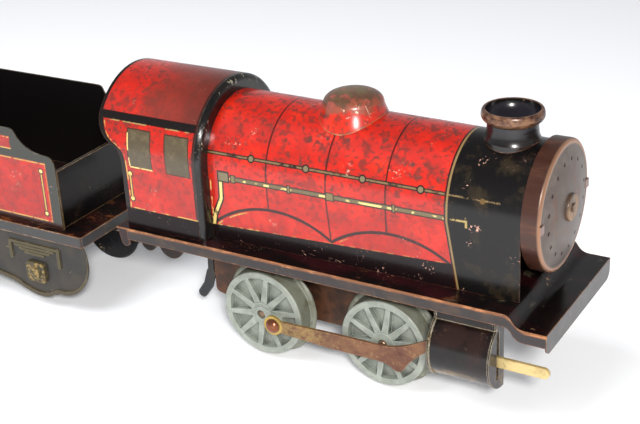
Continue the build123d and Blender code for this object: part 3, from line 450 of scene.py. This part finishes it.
def boiler_paint():
    paint = Paint("boiler_litho", RED, 0.24, gloss=0.5, coat=0.15)
    red_ground(paint)
    x, z = paint.x - MID, paint.z
    dull = paint.noise(3.0, 2.0, 0.6, seed=8)

    above = splasher_arcs(paint, x, dull)
    for band_x, lean in BOILER_BANDS:
        band = x - band_x - below_shoulder(z) * lean
        paint.layer(line(band, 0.28).both(above) * 0.92, DARK_LINE)
    along = x.fall(RAIL_END, RAIL_END + 0.4)
    paint.layer(line(z - RAIL_Z, 0.60).both(along), RAIL_BROWN)
    paint.layer(line(z - RAIL_Z, 0.26).both(along).both(dull.rise(0.3, 0.55)), "705c3e")
    for knob_x in KNOBS:
        paint.layer(paint.disc(MID + knob_x, RAIL_Z, 1.3), RAIL_BROWN)
        paint.layer(paint.disc(MID + knob_x, RAIL_Z, 0.85), OLIVE)
    exhaust_pipe(paint, x, z, dull)

    # yellow line beside the collar, black foot with its thin gold line
    collar_line = line(x - COLLAR_LINE_X, 0.20).both(z.fall(58.0, 63.0))
    paint.layer(collar_line.both(dull.rise(0.44, 0.56)), YELLOW)
    foot = z - x * FOOT_LINE_SLOPE - FOOT_LINE_Z
    paint.layer(foot.fall(0.0, 0.3), FOOT_BLACK, rough=0.26, gloss=0.25)
    gilt = line(foot - 0.25, 0.18).both(dull.rise(0.46, 0.58))
    paint.layer(gilt.both(x.fall(-26.0, -10.0) * 0.7 + 0.3), GOLD)
    smokebox(paint, x, z)

    chips(paint, CHIP_PINK, 0.85, seed=30)
    inside = shell_radius(paint) + (paint.x - BOILER_REAR) * BOILER_TAPER
    paint.layer(inside.fall(BOILER_R - 0.3, BOILER_R - 0.2), "5b564c", rough=0.4, metal=0.6)
    worn_rim(paint, "5b3322", "9a8f80", 0.45, seed=31, reach=-0.1)
    dents(paint, 0.12, 16.0, seed=1)
    return paint.done()


CAB_RAIL_X = -67.4
CAB_RAIL_ENDS = (49.3, 58.0)
WINDOWS = ((-68.4, -59.0, 0.44), (-53.8, -44.3, 0.66))                  # sides, how much gilt is lost
WINDOW_LOW, WINDOW_HIGH = 60.3, 73.0
WINDOW_LEAN = 0.09
EAVE = (74.5, 76.8)
CAB_SIDE_REAR = -70.5
CAB_ROOF_REAR = -79.3
CAB_FRONT_LINE = -42.8
SWEEP_LOW = 42.5
SWEEP_HEIGHT = 33.1
SWEEP_DEPTH = 9.8
SWEEP = ((0.0, 0.0), (0.53, 0.0), (0.64, 0.04), (0.73, 0.31), (0.77, 0.54), (0.84, 0.78), (1.0, 1.0))


def swept_edge(paint, x, z):
    """Distance in front of the cab side's rear edge, which sweeps back towards the roof."""
    curve = paint.tree.nodes.new("ShaderNodeFloatCurve")
    points = curve.mapping.curves[0].points
    points[0].location, points[1].location = SWEEP[0], SWEEP[-1]
    for place in SWEEP[1:-1]:
        points.new(*place)
    curve.mapping.update()
    height = (z - SWEEP_LOW) / SWEEP_HEIGHT
    feed(paint.tree, curve.inputs["Value"], height.op("MAXIMUM", 0.0).op("MINIMUM", 1.0))
    return x - CAB_SIDE_REAR + Field(paint.tree, curve.outputs[0]) * SWEEP_DEPTH


def cab_paint():
    paint = Paint("cab_litho", RED, 0.24, gloss=0.5, coat=0.15)
    red_ground(paint)
    x, z = paint.x - MID, paint.z
    dull = paint.noise(3.0, 2.0, 0.6, seed=41)

    # roof: tarnished towards the front
    above = z.rise(76.4, 76.9)
    ragged = x + (paint.noise(9.0, 3.0, 0.6, seed=42) - 0.5) * 12.0
    paint.layer(ragged.rise(-71.0, -58.0).both(above) * 0.80, "63241a", rough=0.32)
    paint.layer(ragged.rise(-57.0, -42.0).both(above) * 0.55, "3c1b12")

    # windows, leaning a little forward towards the floor, with worn frames
    leaning = x - (WINDOW_HIGH - 0.1 - z) * WINDOW_LEAN
    pane_z = (WINDOW_LOW + 0.4, WINDOW_HIGH - 0.4)
    for left, right, gilt in WINDOWS:
        paint.layer(patch(leaning, z, ((left, right), (WINDOW_LOW, WINDOW_HIGH))), "3a2016")
        glass = patch(leaning, z, ((left + 0.4, right - 0.4), pane_z))
        paint.layer(glass, "493f2e", rough=0.3)
        grain = paint.noise(2.0, 3.0, 0.7, seed=43)
        paint.layer(glass.both(grain.rise(0.45, 0.65)) * 0.5, "64583f")
        jamb = patch(leaning, z, ((left + 0.1, left + 0.5), pane_z))
        sill = patch(leaning, z, ((left + 0.3, right - 0.2), (WINDOW_LOW, pane_z[0])))
        paint.layer(jamb.either(sill).both(dull.rise(gilt, gilt + 0.1)), YELLOW)

    # handrail
    rail_x = MID + CAB_RAIL_X
    rail = paint.stroke((rail_x, CAB_RAIL_ENDS[1]), (rail_x, CAB_RAIL_ENDS[0]))
    paint.layer(rail.fall(0.55, 0.75), CAB_RAIL_BROWN)
    for ball_z in CAB_RAIL_ENDS:
        paint.layer(paint.disc(rail_x, ball_z, 1.15), CAB_RAIL_BROWN)
        paint.layer(paint.disc(rail_x, ball_z, 0.72), YELLOW)
    paint.layer(rail.fall(0.18, 0.38), GOLD)

    # eave band, rear border that follows the swept edge, front line, foot
    paint.layer(within(z, *EAVE), "120d0c", rough=0.24, gloss=0.3)
    paint.layer(line(z - EAVE[0] + 0.1, 0.16).both(dull.rise(0.46, 0.58)), "8f7a4a")
    behind = swept_edge(paint, x, z)
    side = z.fall(EAVE[0] + 0.6, EAVE[0] + 1.0)
    paint.layer(behind.fall(1.4, 1.7).both(side), BORDER_BLACK, rough=0.24, gloss=0.3)
    paint.layer(line(behind - 1.9, 0.2).both(side).both(dull.rise(0.44, 0.54)), GOLD)
    paint.layer((x - CAB_ROOF_REAR).fall(-0.1, 0.1).both(above), BORDER_BLACK, rough=0.24, gloss=0.3)
    paint.layer(x.rise(CAB_FRONT_LINE, CAB_FRONT_LINE + 0.3), "2c100c")
    paint.layer(z.fall(45.7, 46.0), FOOT_BLACK, rough=0.3, gloss=0.15)
    foot_line = line(z - 46.05, 0.18).both(x.rise(-68.6, -68.3))
    paint.layer(foot_line.both(dull.rise(0.46, 0.56)), GOLD)

    chips(paint, CHIP_PINK, 0.55, seed=50, spread=0.70)
    inside = shell_radius(paint).fall(CAB_R - 0.3, CAB_R - 0.2)
    paint.layer(inside, "191310", rough=0.4)
    worn_rim(paint, "4f2a1c", "8a7a68", 0.45, seed=51, reach=-0.1)
    dents(paint, 0.10, 18.0, seed=2)
    return paint.done()


def enamel_paint(name, colour, brown, wear, bare, seed=0.0, reach=0.0, rough=0.2, radius=0.6,
                 gloss=0.35):
    """Gloss black enamel with a brown bloom, a few chips and rubbed edges."""
    paint = Paint(name, colour, rough, gloss=gloss)
    bloom = paint.noise(10.0, 3.0, 0.6, seed=seed + 61)
    paint.layer(bloom.rise(0.42, 0.68) * 0.8, brown, rough=rough + 0.1)
    fine = paint.noise(2.2, 3.0, 0.65, seed=seed + 62)
    paint.layer(fine.rise(0.60, 0.75) * 0.35, "4a3322", rough=rough + 0.2)
    chips(paint, "a8926e", 0.7, seed=seed + 63, spread=0.70)
    worn_rim(paint, wear, bare, radius, seed=seed, reach=reach)
    dents(paint, 0.08, 14.0, seed=seed)
    return paint


DROP_X = 62.6                           # the footplate bends down in front of this
DROP_LENGTH = 6.6
DROP_Z = 35.1


def footplate_paint():
    paint = Paint("footplate_enamel", "0c0808", 0.2, gloss=0.4)
    x, z = paint.x - MID, paint.z
    bloom = paint.noise(13.0, 2.0, 0.55, seed=71, stretch=(2, 1, 1))
    paint.layer(bloom.rise(0.44, 0.64) * 0.85, "260a0d", rough=0.24)
    rust = paint.noise(7.0, 4.0, 0.65, seed=72, stretch=(1.6, 1, 1))
    paint.layer(rust.rise(0.62, 0.74) * 0.6, "4c2c1a", rough=0.42)
    green = paint.noise(6.0, 3.0, 0.6, seed=73).rise(0.60, 0.7)
    paint.layer(green.both(x.rise(20, 50)) * 0.6, "4a4434", rough=0.4)
    # painted reflection: the sides of the valance carry a thin grey-brown tone and the beam's front face
    # a lighter grey, with rust patches over both
    side = outermost(abs(paint.y), FOOT_HIGH.y)
    face = outermost(paint.x, FOOT_HIGH.x)
    paint.layer(side * 0.8, "322d2d", rough=0.4, gloss=0.3)
    paint.layer(side.both(rust.rise(0.46, 0.66)) * 0.6, "4a3a2e", rough=0.45)
    paint.layer(face * 0.8, "4b4a4a", rough=0.36)
    paint.layer(face.both(rust.rise(0.40, 0.70)) * 0.5, "6a6662", rough=0.4)
    # the top edge is rubbed to copper and brown in a band of its own
    drop = (x - DROP_X).rise(0.0, DROP_LENGTH) * (FOOT_HIGH.z - DROP_Z)
    below_top = FOOT_HIGH.z - drop - z
    patchy = paint.noise(2.4, 4.0, 0.7, seed=76, stretch=(3, 1, 1))
    rubbed = below_top.fall(0.5, 1.2).both(side).both(patchy.rise(0.30, 0.46))
    paint.layer(rubbed * 0.85, "7c5034", rough=0.4, metal=0.2)
    paint.layer(rubbed.both(patchy.rise(0.52, 0.62)), "a8704a", rough=0.36, metal=0.3)
    chips(paint, "a8865c", 0.7, seed=74, spread=0.68)
    worn_rim(paint, "84532f", "b5906c", 0.6, seed=75, reach=0.05)
    dents(paint, 0.10, 16.0, seed=3)
    return paint.done()


def collar_paint():
    paint = enamel_paint("collar_enamel", "0b0a0a", "191411", "3c3426", "a89c84", seed=4, rough=0.15,
                         gloss=0.5)
    edge = shell_radius(paint).rise(CAB_R - 3.0, CAB_R - 1.4)
    flaked = paint.noise(1.3, 3.0, 0.7, seed=81, stretch=(1, 1, 2.4)).rise(0.61, 0.65)
    shoulder = paint.z.rise(AXIS_Z + 4.0, AXIS_Z + 9.0)
    front = (paint.x - MID).rise(-41.6, -40.8)
    paint.layer(edge.both(flaked).both(front).both(shoulder) * 0.8, "a9a08c", rough=0.45, metal=0.2)
    return paint.done(1.1)


DOOR_SKIRT_X = 69.2                     # behind this is the door's turned-back skirt
DOOR_TAB_Y = 16.3


def door_paint():
    paint = Paint("door_metal", "4d3f37", 0.38, metal=0.15)
    x = paint.x - MID
    radius = length(paint.y, paint.z - AXIS_Z)
    cloud = paint.noise(7.0, 3.0, 0.6, seed=91)
    paint.layer(cloud.rise(0.40, 0.66) * 0.75, "645951", rough=0.42)
    rust = paint.noise(5.0, 3.0, 0.6, seed=92, stretch=(1, 1, 1.8))
    paint.layer(rust.rise(0.50, 0.66).both(radius.fall(10.5, 14.0)) * 0.85, "5d3018", rough=0.4)
    paint.layer(radius.fall(3.6, 4.4).both(rust.rise(0.38, 0.55)) * 0.9, "8b6434", rough=0.35)
    skirt = x.fall(DOOR_SKIRT_X, DOOR_SKIRT_X + 0.5)
    paint.layer(skirt, "3a2118", rough=0.34, metal=0.2)
    streak = paint.noise(4.0, 3.0, 0.6, seed=93, stretch=(4, 1, 1))
    paint.layer(skirt.both(streak.rise(0.46, 0.68)) * 0.7, "5c341f", rough=0.36)
    paint.layer(skirt.both(streak.fall(0.30, 0.44)) * 0.7, "33180f")
    rim = within(radius, 18.1, 19.4, 0.3).both(x.rise(69.0, 69.5))
    paint.layer(rim * 0.85, "a87a5c", rough=0.28, metal=0.7)
    # grime and painted shade: dark brown in the door's crevices and recesses
    pits_and_recess_shade = paint.recess_shade(1.2)
    paint.layer(pits_and_recess_shade.rise(0.25, 0.6) * 0.9, "24130c", rough=0.6)
    tab = abs(paint.y).rise(DOOR_TAB_Y, DOOR_TAB_Y + 0.3).both(x.rise(70.1, 70.3))
    paint.layer(tab, "86706a", rough=0.4)
    chips(paint, "a89a8c", 0.5, seed=94, spread=0.70)
    dents(paint, 0.06, 9.0, seed=5)
    return paint.done(0.2)


def chimney_paint():
    paint = enamel_paint("chimney_enamel", "0c0a0a", "1a1210", "6a4630", "b08e70", seed=6, gloss=0.5)
    away = length(paint.x - middle("chimney").x, paint.y)
    height = paint.z - CHIMNEY_TOP
    outside = away.rise(7.9, 8.1).either(height.fall(-2.9, -2.6))
    lip = within(height, -3.9, 1.0, 0.25).both(away.rise(7.3, 7.5)).both(outside)
    worn = paint.noise(3.0, 3.0, 0.65, seed=101, stretch=(1, 1, 0.5))
    paint.layer(lip * 0.9, "4e3326", rough=0.32, metal=0.25)
    paint.layer(lip.both(worn.rise(0.42, 0.60)), "7c5a42", rough=0.34, metal=0.35)
    paint.layer(lip.both(worn.fall(0.32, 0.42)), "2b1710", rough=0.28)
    bowl = away.fall(7.5, 7.9).both(height.rise(-5.5, -5.3))
    paint.layer(bowl, "121016", rough=0.22)
    return paint.done(0.2)


def dome_paint():
    paint = Paint("dome_enamel", "b4220e", 0.24, gloss=0.5, coat=0.15)
    red_ground(paint)
    worn = paint.noise(4.0, 4.0, 0.68, seed=111)
    height = (paint.z - DOME_TOP) * 0.10 + (middle("dome").x - paint.x) * 0.010
    rub = worn + height
    paint.layer(rub.rise(-0.05, 0.12) * 0.85, "7a4432", rough=0.36, metal=0.1)
    paint.layer(rub.rise(0.18, 0.32) * 0.8, "4b3d2c", rough=0.34, metal=0.2)
    paint.layer((worn + height * 1.2).rise(0.40, 0.52) * 0.7, "6c5a3a", rough=0.36, metal=0.3)
    blush = paint.noise(3.4, 2.0, 0.5, seed=114).rise(0.56, 0.66)
    paint.layer(blush.both(rub.rise(0.1, 0.3)) * 0.8, "9a4a40", rough=0.3)
    chips(paint, "e0c4ac", 0.7, seed=112)
    worn_rim(paint, "8a6a40", "c8a880", 0.6, seed=113, reach=0.1)
    dents(paint, 0.08, 7.0, seed=7)
    return paint.done(0.2)


CYLINDER_FACE_X = 60.0


def cylinder_paint():
    paint = enamel_paint("cylinder_enamel", "0d0a0a", "241410", "8b7a5a", "cabfa8", seed=8, reach=0.35,
                         radius=0.5)
    # rubbed gold-brown patches towards the bottom, partly a painted reflection of the floor
    low = paint.z.fall(CYLINDER_BOTTOM + 3.0, CYLINDER_BOTTOM + 8.0)
    rub = paint.noise(4.0, 4.0, 0.65, seed=121, stretch=(1.6, 1, 1))
    paint.layer(low.both(rub.rise(0.44, 0.62)) * 0.8, "8a7048", rough=0.3, metal=0.4)
    # painted reflection: the front end plate is tinted blue-grey
    ends = (paint.x - MID).rise(CYLINDER_FACE_X, CYLINDER_FACE_X + 0.15)
    paint.layer(ends * 0.5, "3c3a3e", rough=0.28)
    return paint.done(0.2)


def motor_paint():
    paint = Paint("motor_steel", "3a2418", 0.5, metal=0.35)
    rust = paint.noise(6.0, 4.0, 0.65, seed=131)
    paint.layer(rust.rise(0.42, 0.62) * 0.8, "5c3822", rough=0.6)
    paint.layer(rust.fall(0.30, 0.42) * 0.7, "1e120d")
    worn_rim(paint, "7a5a3c", "a08a70", 0.4, seed=132)
    dents(paint, 0.05, 10.0, seed=9)
    return paint.done()


TREAD_R = 13.9
TREAD_Y = (14.0, 21.4)


def wheel_paint():
    paint = Paint("wheel_zinc", "7d8178", 0.5, metal=0.1)
    cloud = paint.noise(5.0, 3.0, 0.6, seed=141)
    paint.layer(cloud.rise(0.40, 0.66) * 0.6, "979c92", rough=0.46)
    paint.layer(cloud.fall(0.30, 0.44) * 0.5, "646d62")
    across = abs(paint.y)
    tread = across.rise(TREAD_Y[0], TREAD_Y[0] + 0.4).both(across.fall(TREAD_Y[1] - 0.3, TREAD_Y[1]))
    olive = paint.noise(4.0, 2.0, 0.5, seed=142)
    outer = None
    for axle in ("rear_axle", "front_axle"):
        centre = middle(axle)
        away = paint.hoop(centre.x, centre.z, TREAD_R)
        outer = away if outer is None else outer.least(away)
    tread = outer.rise(0.0, 0.3).both(tread)
    paint.layer(tread * 0.6, "6a6955", rough=0.4)
    paint.layer(tread.both(olive.rise(0.5, 0.7)) * 0.6, "4f4a34")
    # dirt and painted shade: dark grey in the recesses between the spokes and by the rims
    dirt_and_recess_shade = paint.recess_shade(2.2)
    paint.layer(dirt_and_recess_shade.rise(0.26, 0.80) * 0.85, "343a35", rough=0.7)
    worn_rim(paint, "a9b2a8", "bcc3ba", 0.4, seed=143)
    paint.relief(paint.noise(0.9, 3.0, 0.6, seed=144), 0.02)
    return paint.done(0.3)


ROD_EYE_R = 2.9
ROD_TIP_X = (59.0, 61.0)                # from rusty rod to bright tip


def rod_paint():
    paint = Paint("rod_steel", "5c3828", 0.46, metal=0.3)
    cloud = paint.noise(5.0, 4.0, 0.65, seed=151, stretch=(1.8, 1, 1))
    paint.layer(cloud.rise(0.44, 0.64) * 0.7, "7a5638", rough=0.46)
    paint.layer(cloud.fall(0.30, 0.42) * 0.8, "472518", rough=0.55)
    fine = paint.noise(1.0, 3.0, 0.7, seed=152)
    paint.layer(fine.rise(0.58, 0.70) * 0.6, "a08258", rough=0.4)
    x = paint.x - MID
    gold = x.fall(-4.0, 8.0)
    paint.layer(gold.both(fine.rise(0.36, 0.55)) * 0.5, "94804a", rough=0.38, metal=0.4)
    crank = middle("crank_pin_right")
    ring = line(paint.hoop(crank.x, crank.z, ROD_EYE_R), 0.5).both(paint.y.fall(-20.0, -19.0))
    paint.layer(ring * 0.8, "b59a52", rough=0.3, metal=0.7)
    end = x.rise(*ROD_TIP_X)
    paint.layer(end, "c2ac76", rough=0.36, metal=0.35)
    paint.layer(end.both(cloud.rise(0.52, 0.64)) * 0.6, "9a8450")
    paint.layer(end.both(fine.rise(0.60, 0.68)) * 0.6, "6e5530")
    worn_rim(paint, "a0744a", "c9ad7c", 0.4, seed=153, reach=-0.05)
    dents(paint, 0.05, 6.0, seed=10)
    return paint.done(0.15)


def plain_metal(name, colour, dark, light, rough=0.35, metal=0.9, seed=0.0, size=4.0):
    """Bare or blackened metal with a cloudy tarnish and rubbed edges."""
    paint = Paint(name, colour, rough, metal=metal)
    cloud = paint.noise(size, 4.0, 0.65, seed=seed + 161)
    paint.layer(cloud.fall(0.30, 0.48) * 0.8, dark, rough=rough + 0.2)
    paint.layer(cloud.rise(0.55, 0.70) * 0.5, light, rough=rough)
    worn_rim(paint, light, light, 0.3, seed=seed + 3)
    paint.relief(paint.noise(0.6, 3.0, 0.6, seed=seed + 162), 0.01)
    return paint.done(0.15)


# ---------------------------------------------------------------- materials: tender
TENDER_FRONT = -100.0
TENDER_LOW_TOP = 57.8
TENDER_STEP = -118.8                    # where the top edge rises
TENDER_FOOT = 33.3
TENDER_RAIL_X = -106.4
TENDER_RAIL_ENDS = (51.9, 36.2)


def tender_paint():
    paint = Paint("tender_litho", "ac1a10", 0.24, gloss=0.5, coat=0.15)
    red_ground(paint)
    x, z = paint.x - MID, paint.z
    dull = paint.noise(3.0, 2.0, 0.6, seed=171)

    # handrails near the front edge
    rail_x = MID + TENDER_RAIL_X
    rail = paint.stroke((rail_x, TENDER_RAIL_ENDS[0]), (rail_x, TENDER_RAIL_ENDS[1]))
    paint.layer(rail.fall(0.55, 0.75), TENDER_RAIL_BROWN)
    paint.layer(rail.fall(0.18, 0.38), GOLD)
    for ball_z in TENDER_RAIL_ENDS:
        paint.layer(paint.disc(rail_x, ball_z, 1.15), TENDER_RAIL_BROWN)
        paint.layer(paint.disc(rail_x, ball_z, 0.7), YELLOW)

    # border along the front, the low top and the raised top, with yellow lines inside it
    from_front = x - TENDER_FRONT
    from_step = x - TENDER_STEP
    above_low = z - TENDER_LOW_TOP
    above_top = z - TENDER_HIGH.z
    from_rear = x - TENDER_REAR
    dark = from_front.rise(-4.1, -3.9).either(within(above_low, -2.6, 0.2))
    dark = dark.either(above_low.rise(-2.8, -2.5).both(from_step.rise(-0.2, 0.2)))
    dark = dark.either(above_top.rise(-3.2, -2.9)).either(from_rear.fall(2.4, 2.7))
    foot = z.fall(TENDER_FOOT - 0.3, TENDER_FOOT)
    paint.layer(dark.either(foot), "292a23", rough=0.26)
    paint.layer(foot, "2a120c", rough=0.3)
    behind_front = from_front.fall(-4.2, -4.0)
    thin = line(above_low + 3.0, 0.2).both(behind_front)
    thin = thin.either(line(above_low - 0.4, 0.2).both(from_step.fall(0.0, 0.4)))
    thin = thin.either(line(z - TENDER_FOOT - 0.2, 0.22).both(behind_front))
    thin = thin.either(line(above_top + 3.4, 0.2).both(from_step.fall(-0.4, 0.0)))
    upright = line(from_front + 4.3, 0.18).both(within(z, TENDER_FOOT + 0.1, TENDER_LOW_TOP - 3.0))
    thin = thin.either(upright * 0.5)
    paint.layer(thin.both(dull.rise(0.36, 0.46)), GOLD)

    chips(paint, CHIP_PINK, 0.7, seed=172)
    # black inside
    inner = abs(paint.y).fall(TENDER_HIGH.y - 0.3, TENDER_HIGH.y - 0.2)
    paint.layer(inner.both(from_rear.rise(0.2, 0.3)), "0a0808", rough=0.34)
    worn_rim(paint, "5a4a34", "9a8f80", 0.45, seed=173)
    dents(paint, 0.10, 18.0, seed=11)
    return paint.done()


def base_paint():
    paint = Paint("tender_base_enamel", "100b0b", 0.22, gloss=0.4)
    bloom = paint.noise(10.0, 3.0, 0.6, seed=181, stretch=(2, 1, 1))
    paint.layer(bloom.rise(0.42, 0.64) * 0.8, "331410", rough=0.26)
    top = outermost(paint.z, BASE_HIGH.z)
    rust = paint.noise(5.0, 4.0, 0.65, seed=182, stretch=(2, 1, 1))
    paint.layer(top.both(rust.rise(0.50, 0.66)) * 0.7, "6a3a1c", rough=0.4)
    # painted reflection: the outer sides and the front face of the base are painted grey
    side = outermost(abs(paint.y), BASE_HIGH.y).either(outermost(paint.x, BASE_HIGH.x))
    paint.layer(side * 0.75, "3b3c3c", rough=0.36)
    chips(paint, "c09a6a", 0.7, seed=183)
    worn_rim(paint, "8f5a30", "c9ac8a", 0.8, seed=184, reach=0.1)
    dents(paint, 0.08, 16.0, seed=12)
    return paint.done()


FRAME_Y = 25.95                         # outer face of the flat part of a side frame


def frame_paint():
    """Side frame: grey-brown print, with the raised springs and axle boxes picked out."""
    paint = Paint("tender_frame_print", "23211d", 0.36, gloss=0.4)
    cloud = paint.noise(7.0, 3.0, 0.6, seed=191)
    paint.layer(cloud.rise(0.42, 0.64) * 0.7, "352e23", rough=0.42)
    paint.layer(cloud.fall(0.28, 0.42) * 0.6, "1c1a17")
    outer = abs(paint.y)
    raised = outer.rise(FRAME_Y + 0.3, FRAME_Y + 0.42)
    paint.layer(raised * 0.85, "463f27", rough=0.4)
    box = outer.rise(FRAME_Y + 0.75, FRAME_Y + 0.95)
    tint = paint.noise(1.6, 3.0, 0.7, seed=192)
    paint.layer(box * 0.8, "3f3722", rough=0.36)
    paint.layer(box.both(tint.rise(0.50, 0.60)), "8f7640", rough=0.3, metal=0.2)
    paint.layer(box.both(tint.fall(0.34, 0.44)), "1c1710")
    lip = paint.z.fall(8.0, 12.0).both(raised)
    paint.layer(lip * 0.8, "3f3626", rough=0.36)
    chips(paint, "b59c70", 0.6, seed=193)
    worn_rim(paint, "6a5a3c", "a39474", 0.4, seed=194, reach=0.02)
    dents(paint, 0.06, 10.0, seed=13)
    return paint.done(0.25)


# ---------------------------------------------------------------- assign materials to the CAD nodes
def assign(material, *names):
    for name in names:
        obj = frame["nodes"][name]
        obj.data.materials.clear()
        obj.data.materials.append(material)


assign(boiler_paint(), "boiler_shell")
assign(cab_paint(), "cab_shell")
assign(collar_paint(), "cab_front")
assign(footplate_paint(), "footplate")
assign(door_paint(), "smokebox_door")
assign(chimney_paint(), "chimney")
assign(dome_paint(), "dome")
assign(cylinder_paint(), "cylinder_right", "cylinder_left")
assign(motor_paint(), "motor_plate_right", "motor_plate_left")
assign(wheel_paint(), "rear_wheel_right", "rear_wheel_left", "front_wheel_right", "front_wheel_left")
assign(rod_paint(), "rod_right", "rod_left")
assign(plain_metal("rivet_brown", "7c4a34", "4a2818", "b08060", 0.26, 0.75, seed=1),
       "crank_pin_right", "crank_pin_left")
assign(plain_metal("axle_steel", "7a6350", "4a3424", "b5a08a", 0.3, 0.8, seed=2),
       "rear_axle", "front_axle", "tender_axle_front", "tender_axle_rear")
assign(plain_metal("bright_steel", "8c8880", "55504a", "bdb8ae", 0.3, 0.95, seed=3),
       "motor_pillars", "pillar_screws", "footplate_screws", "mid_arbor", "mid_pinion", "axle_pinion",
       "winding_arbor", "ratchet_wheel", "click", "click_pin", "loco_drawbar_pin", "tender_drawbar_pin",
       "tender_hook_pin")
assign(plain_metal("gear_brass", "a8843e", "6a4c22", "d0b066", 0.32, 0.95, seed=4),
       "great_wheel", "mid_wheel")
assign(plain_metal("spring_blue", "39414f", "1d222c", "6a7688", 0.28, 0.95, seed=5), "mainspring")
assign(enamel_paint("lever_black", "1d2024", "2c2420", "4f4a44", "8f8a82", seed=14, rough=0.3).done(),
       "brake_lever")
assign(enamel_paint("coupling_black", "17120f", "2e1c13", "5c4630", "8f7a60", seed=15, rough=0.3).done(),
       "drag_bracket", "drawbar", "tender_front_bracket", "tender_rear_bracket", "rear_hook")
assign(tender_paint(), "tender_body")
assign(enamel_paint("tender_panel_enamel", "0a0809", "1c1410", "8a6a40", "c0a880", seed=16,
                    reach=0.1).done(), "tender_panel")
assign(base_paint(), "tender_base")
assign(frame_paint(), "tender_frame_right", "tender_frame_left")
assign(enamel_paint("disc_wheel_enamel", "0c0c0d", "17161a", "3c3834", "7c7468", seed=17,
                    rough=0.22).done(),
       "tender_wheel_front_right", "tender_wheel_front_left",
       "tender_wheel_rear_right", "tender_wheel_rear_left")


# ---------------------------------------------------------------- floor, light and camera
FLOOR_HALF = 3.0
FLOOR_GAP = 0.0001                      # keeps the floor just below the wheels
FLOOR_COLOUR = (0.93, 0.935, 0.95, 1)
FLOOR_GLOW = (0.93, 0.95, 1.0, 1)


def floor():
    turns = ((-1, -1), (1, -1), (1, 1), (-1, 1))
    corners = [(across * FLOOR_HALF, along * FLOOR_HALF, 0) for across, along in turns]
    mesh = bpy.data.meshes.new("floor")
    mesh.from_pydata(corners, [], [(0, 1, 2, 3)])
    obj = bpy.data.objects.new("floor", mesh)
    obj.location.z = -FLOOR_GAP
    bpy.context.scene.collection.objects.link(obj)
    material = bpy.data.materials.new("floor_paper")
    material.use_nodes = True
    shader = material.node_tree.nodes["Principled BSDF"]
    shader.inputs["Base Color"].default_value = FLOOR_COLOUR
    shader.inputs["Roughness"].default_value = 0.8
    shader.inputs["Emission Color"].default_value = FLOOR_GLOW
    shader.inputs["Emission Strength"].default_value = 0.12
    mesh.materials.append(material)


def area_light(name, place, target, size, power, colour=(1, 1, 1), glossy=True):
    data = bpy.data.lights.new(name, "AREA")
    data.shape = "DISK"
    data.size = size
    data.energy = power
    data.color = colour
    obj = bpy.data.objects.new(name, data)
    obj.location = place
    obj.rotation_euler = (Vector(target) - Vector(place)).to_track_quat("-Z", "Y").to_euler()
    obj.visible_glossy = glossy
    bpy.context.scene.collection.objects.link(obj)


HORIZON = (0.97, 0.98, 1.0, 1)
OVERHEAD = (0.30, 0.30, 0.31, 1)
OVERHEAD_AT = 0.75
WORLD_STRENGTH = 0.65


def world():
    """White near the horizon, grey overhead."""
    back = bpy.data.worlds.new("studio")
    back.use_nodes = True
    tree = back.node_tree
    shade = tree.nodes["Background"]
    coordinates = tree.nodes.new("ShaderNodeTexCoord")
    apart = tree.nodes.new("ShaderNodeSeparateXYZ")
    ramp = tree.nodes.new("ShaderNodeValToRGB")
    ramp.color_ramp.elements[0].position = 0.0
    ramp.color_ramp.elements[0].color = HORIZON
    ramp.color_ramp.elements[1].position = OVERHEAD_AT
    ramp.color_ramp.elements[1].color = OVERHEAD
    tree.links.new(coordinates.outputs["Generated"], apart.inputs[0])
    tree.links.new(apart.outputs["Z"], ramp.inputs[0])
    tree.links.new(ramp.outputs[0], shade.inputs["Color"])
    shade.inputs["Strength"].default_value = WORLD_STRENGTH
    bpy.context.scene.world = back


CAMERA_PLACE = Vector((0.2455, -0.3201, 0.2189))
CAMERA_AZIMUTH = radians(31.56)
CAMERA_ELEVATION = radians(24.85)
CAMERA_ROLL = radians(-3.0)
CAMERA_LENS = 72.88
CAMERA_SENSOR = 36


def camera():
    """Front three-quarter view, from above, with a slight roll."""
    level = cos(CAMERA_ELEVATION)
    back = Vector((sin(CAMERA_AZIMUTH) * level, -cos(CAMERA_AZIMUTH) * level, sin(CAMERA_ELEVATION)))
    right = Vector((cos(CAMERA_AZIMUTH), sin(CAMERA_AZIMUTH), 0))
    up = back.cross(right)
    across = right * cos(CAMERA_ROLL) + up * sin(CAMERA_ROLL)
    upward = up * cos(CAMERA_ROLL) - right * sin(CAMERA_ROLL)
    data = bpy.data.cameras.new("camera")
    data.lens = CAMERA_LENS
    data.sensor_width = CAMERA_SENSOR
    data.clip_start = 0.01
    obj = bpy.data.objects.new("camera", data)
    turn = Matrix((across, upward, back)).transposed().to_4x4()
    obj.matrix_world = Matrix.Translation(CAMERA_PLACE) @ turn
    bpy.context.scene.collection.objects.link(obj)
    bpy.context.scene.camera = obj


floor()
world()
AIM = Vector((0.05, 0.0, 0.04))
KEY = Vector((0.389, -0.4725, 0.3685))  # in front, a little above the camera
FILL = Vector((-0.25, -0.35, 0.75))
area_light("key", KEY, AIM, size=0.09, power=5.0, colour=(1.0, 0.985, 0.96))
area_light("fill", FILL, AIM, size=0.7, power=7.0, colour=(0.96, 0.98, 1.0), glossy=False)
camera()
bpy.context.scene.view_settings.view_transform = "Standard"
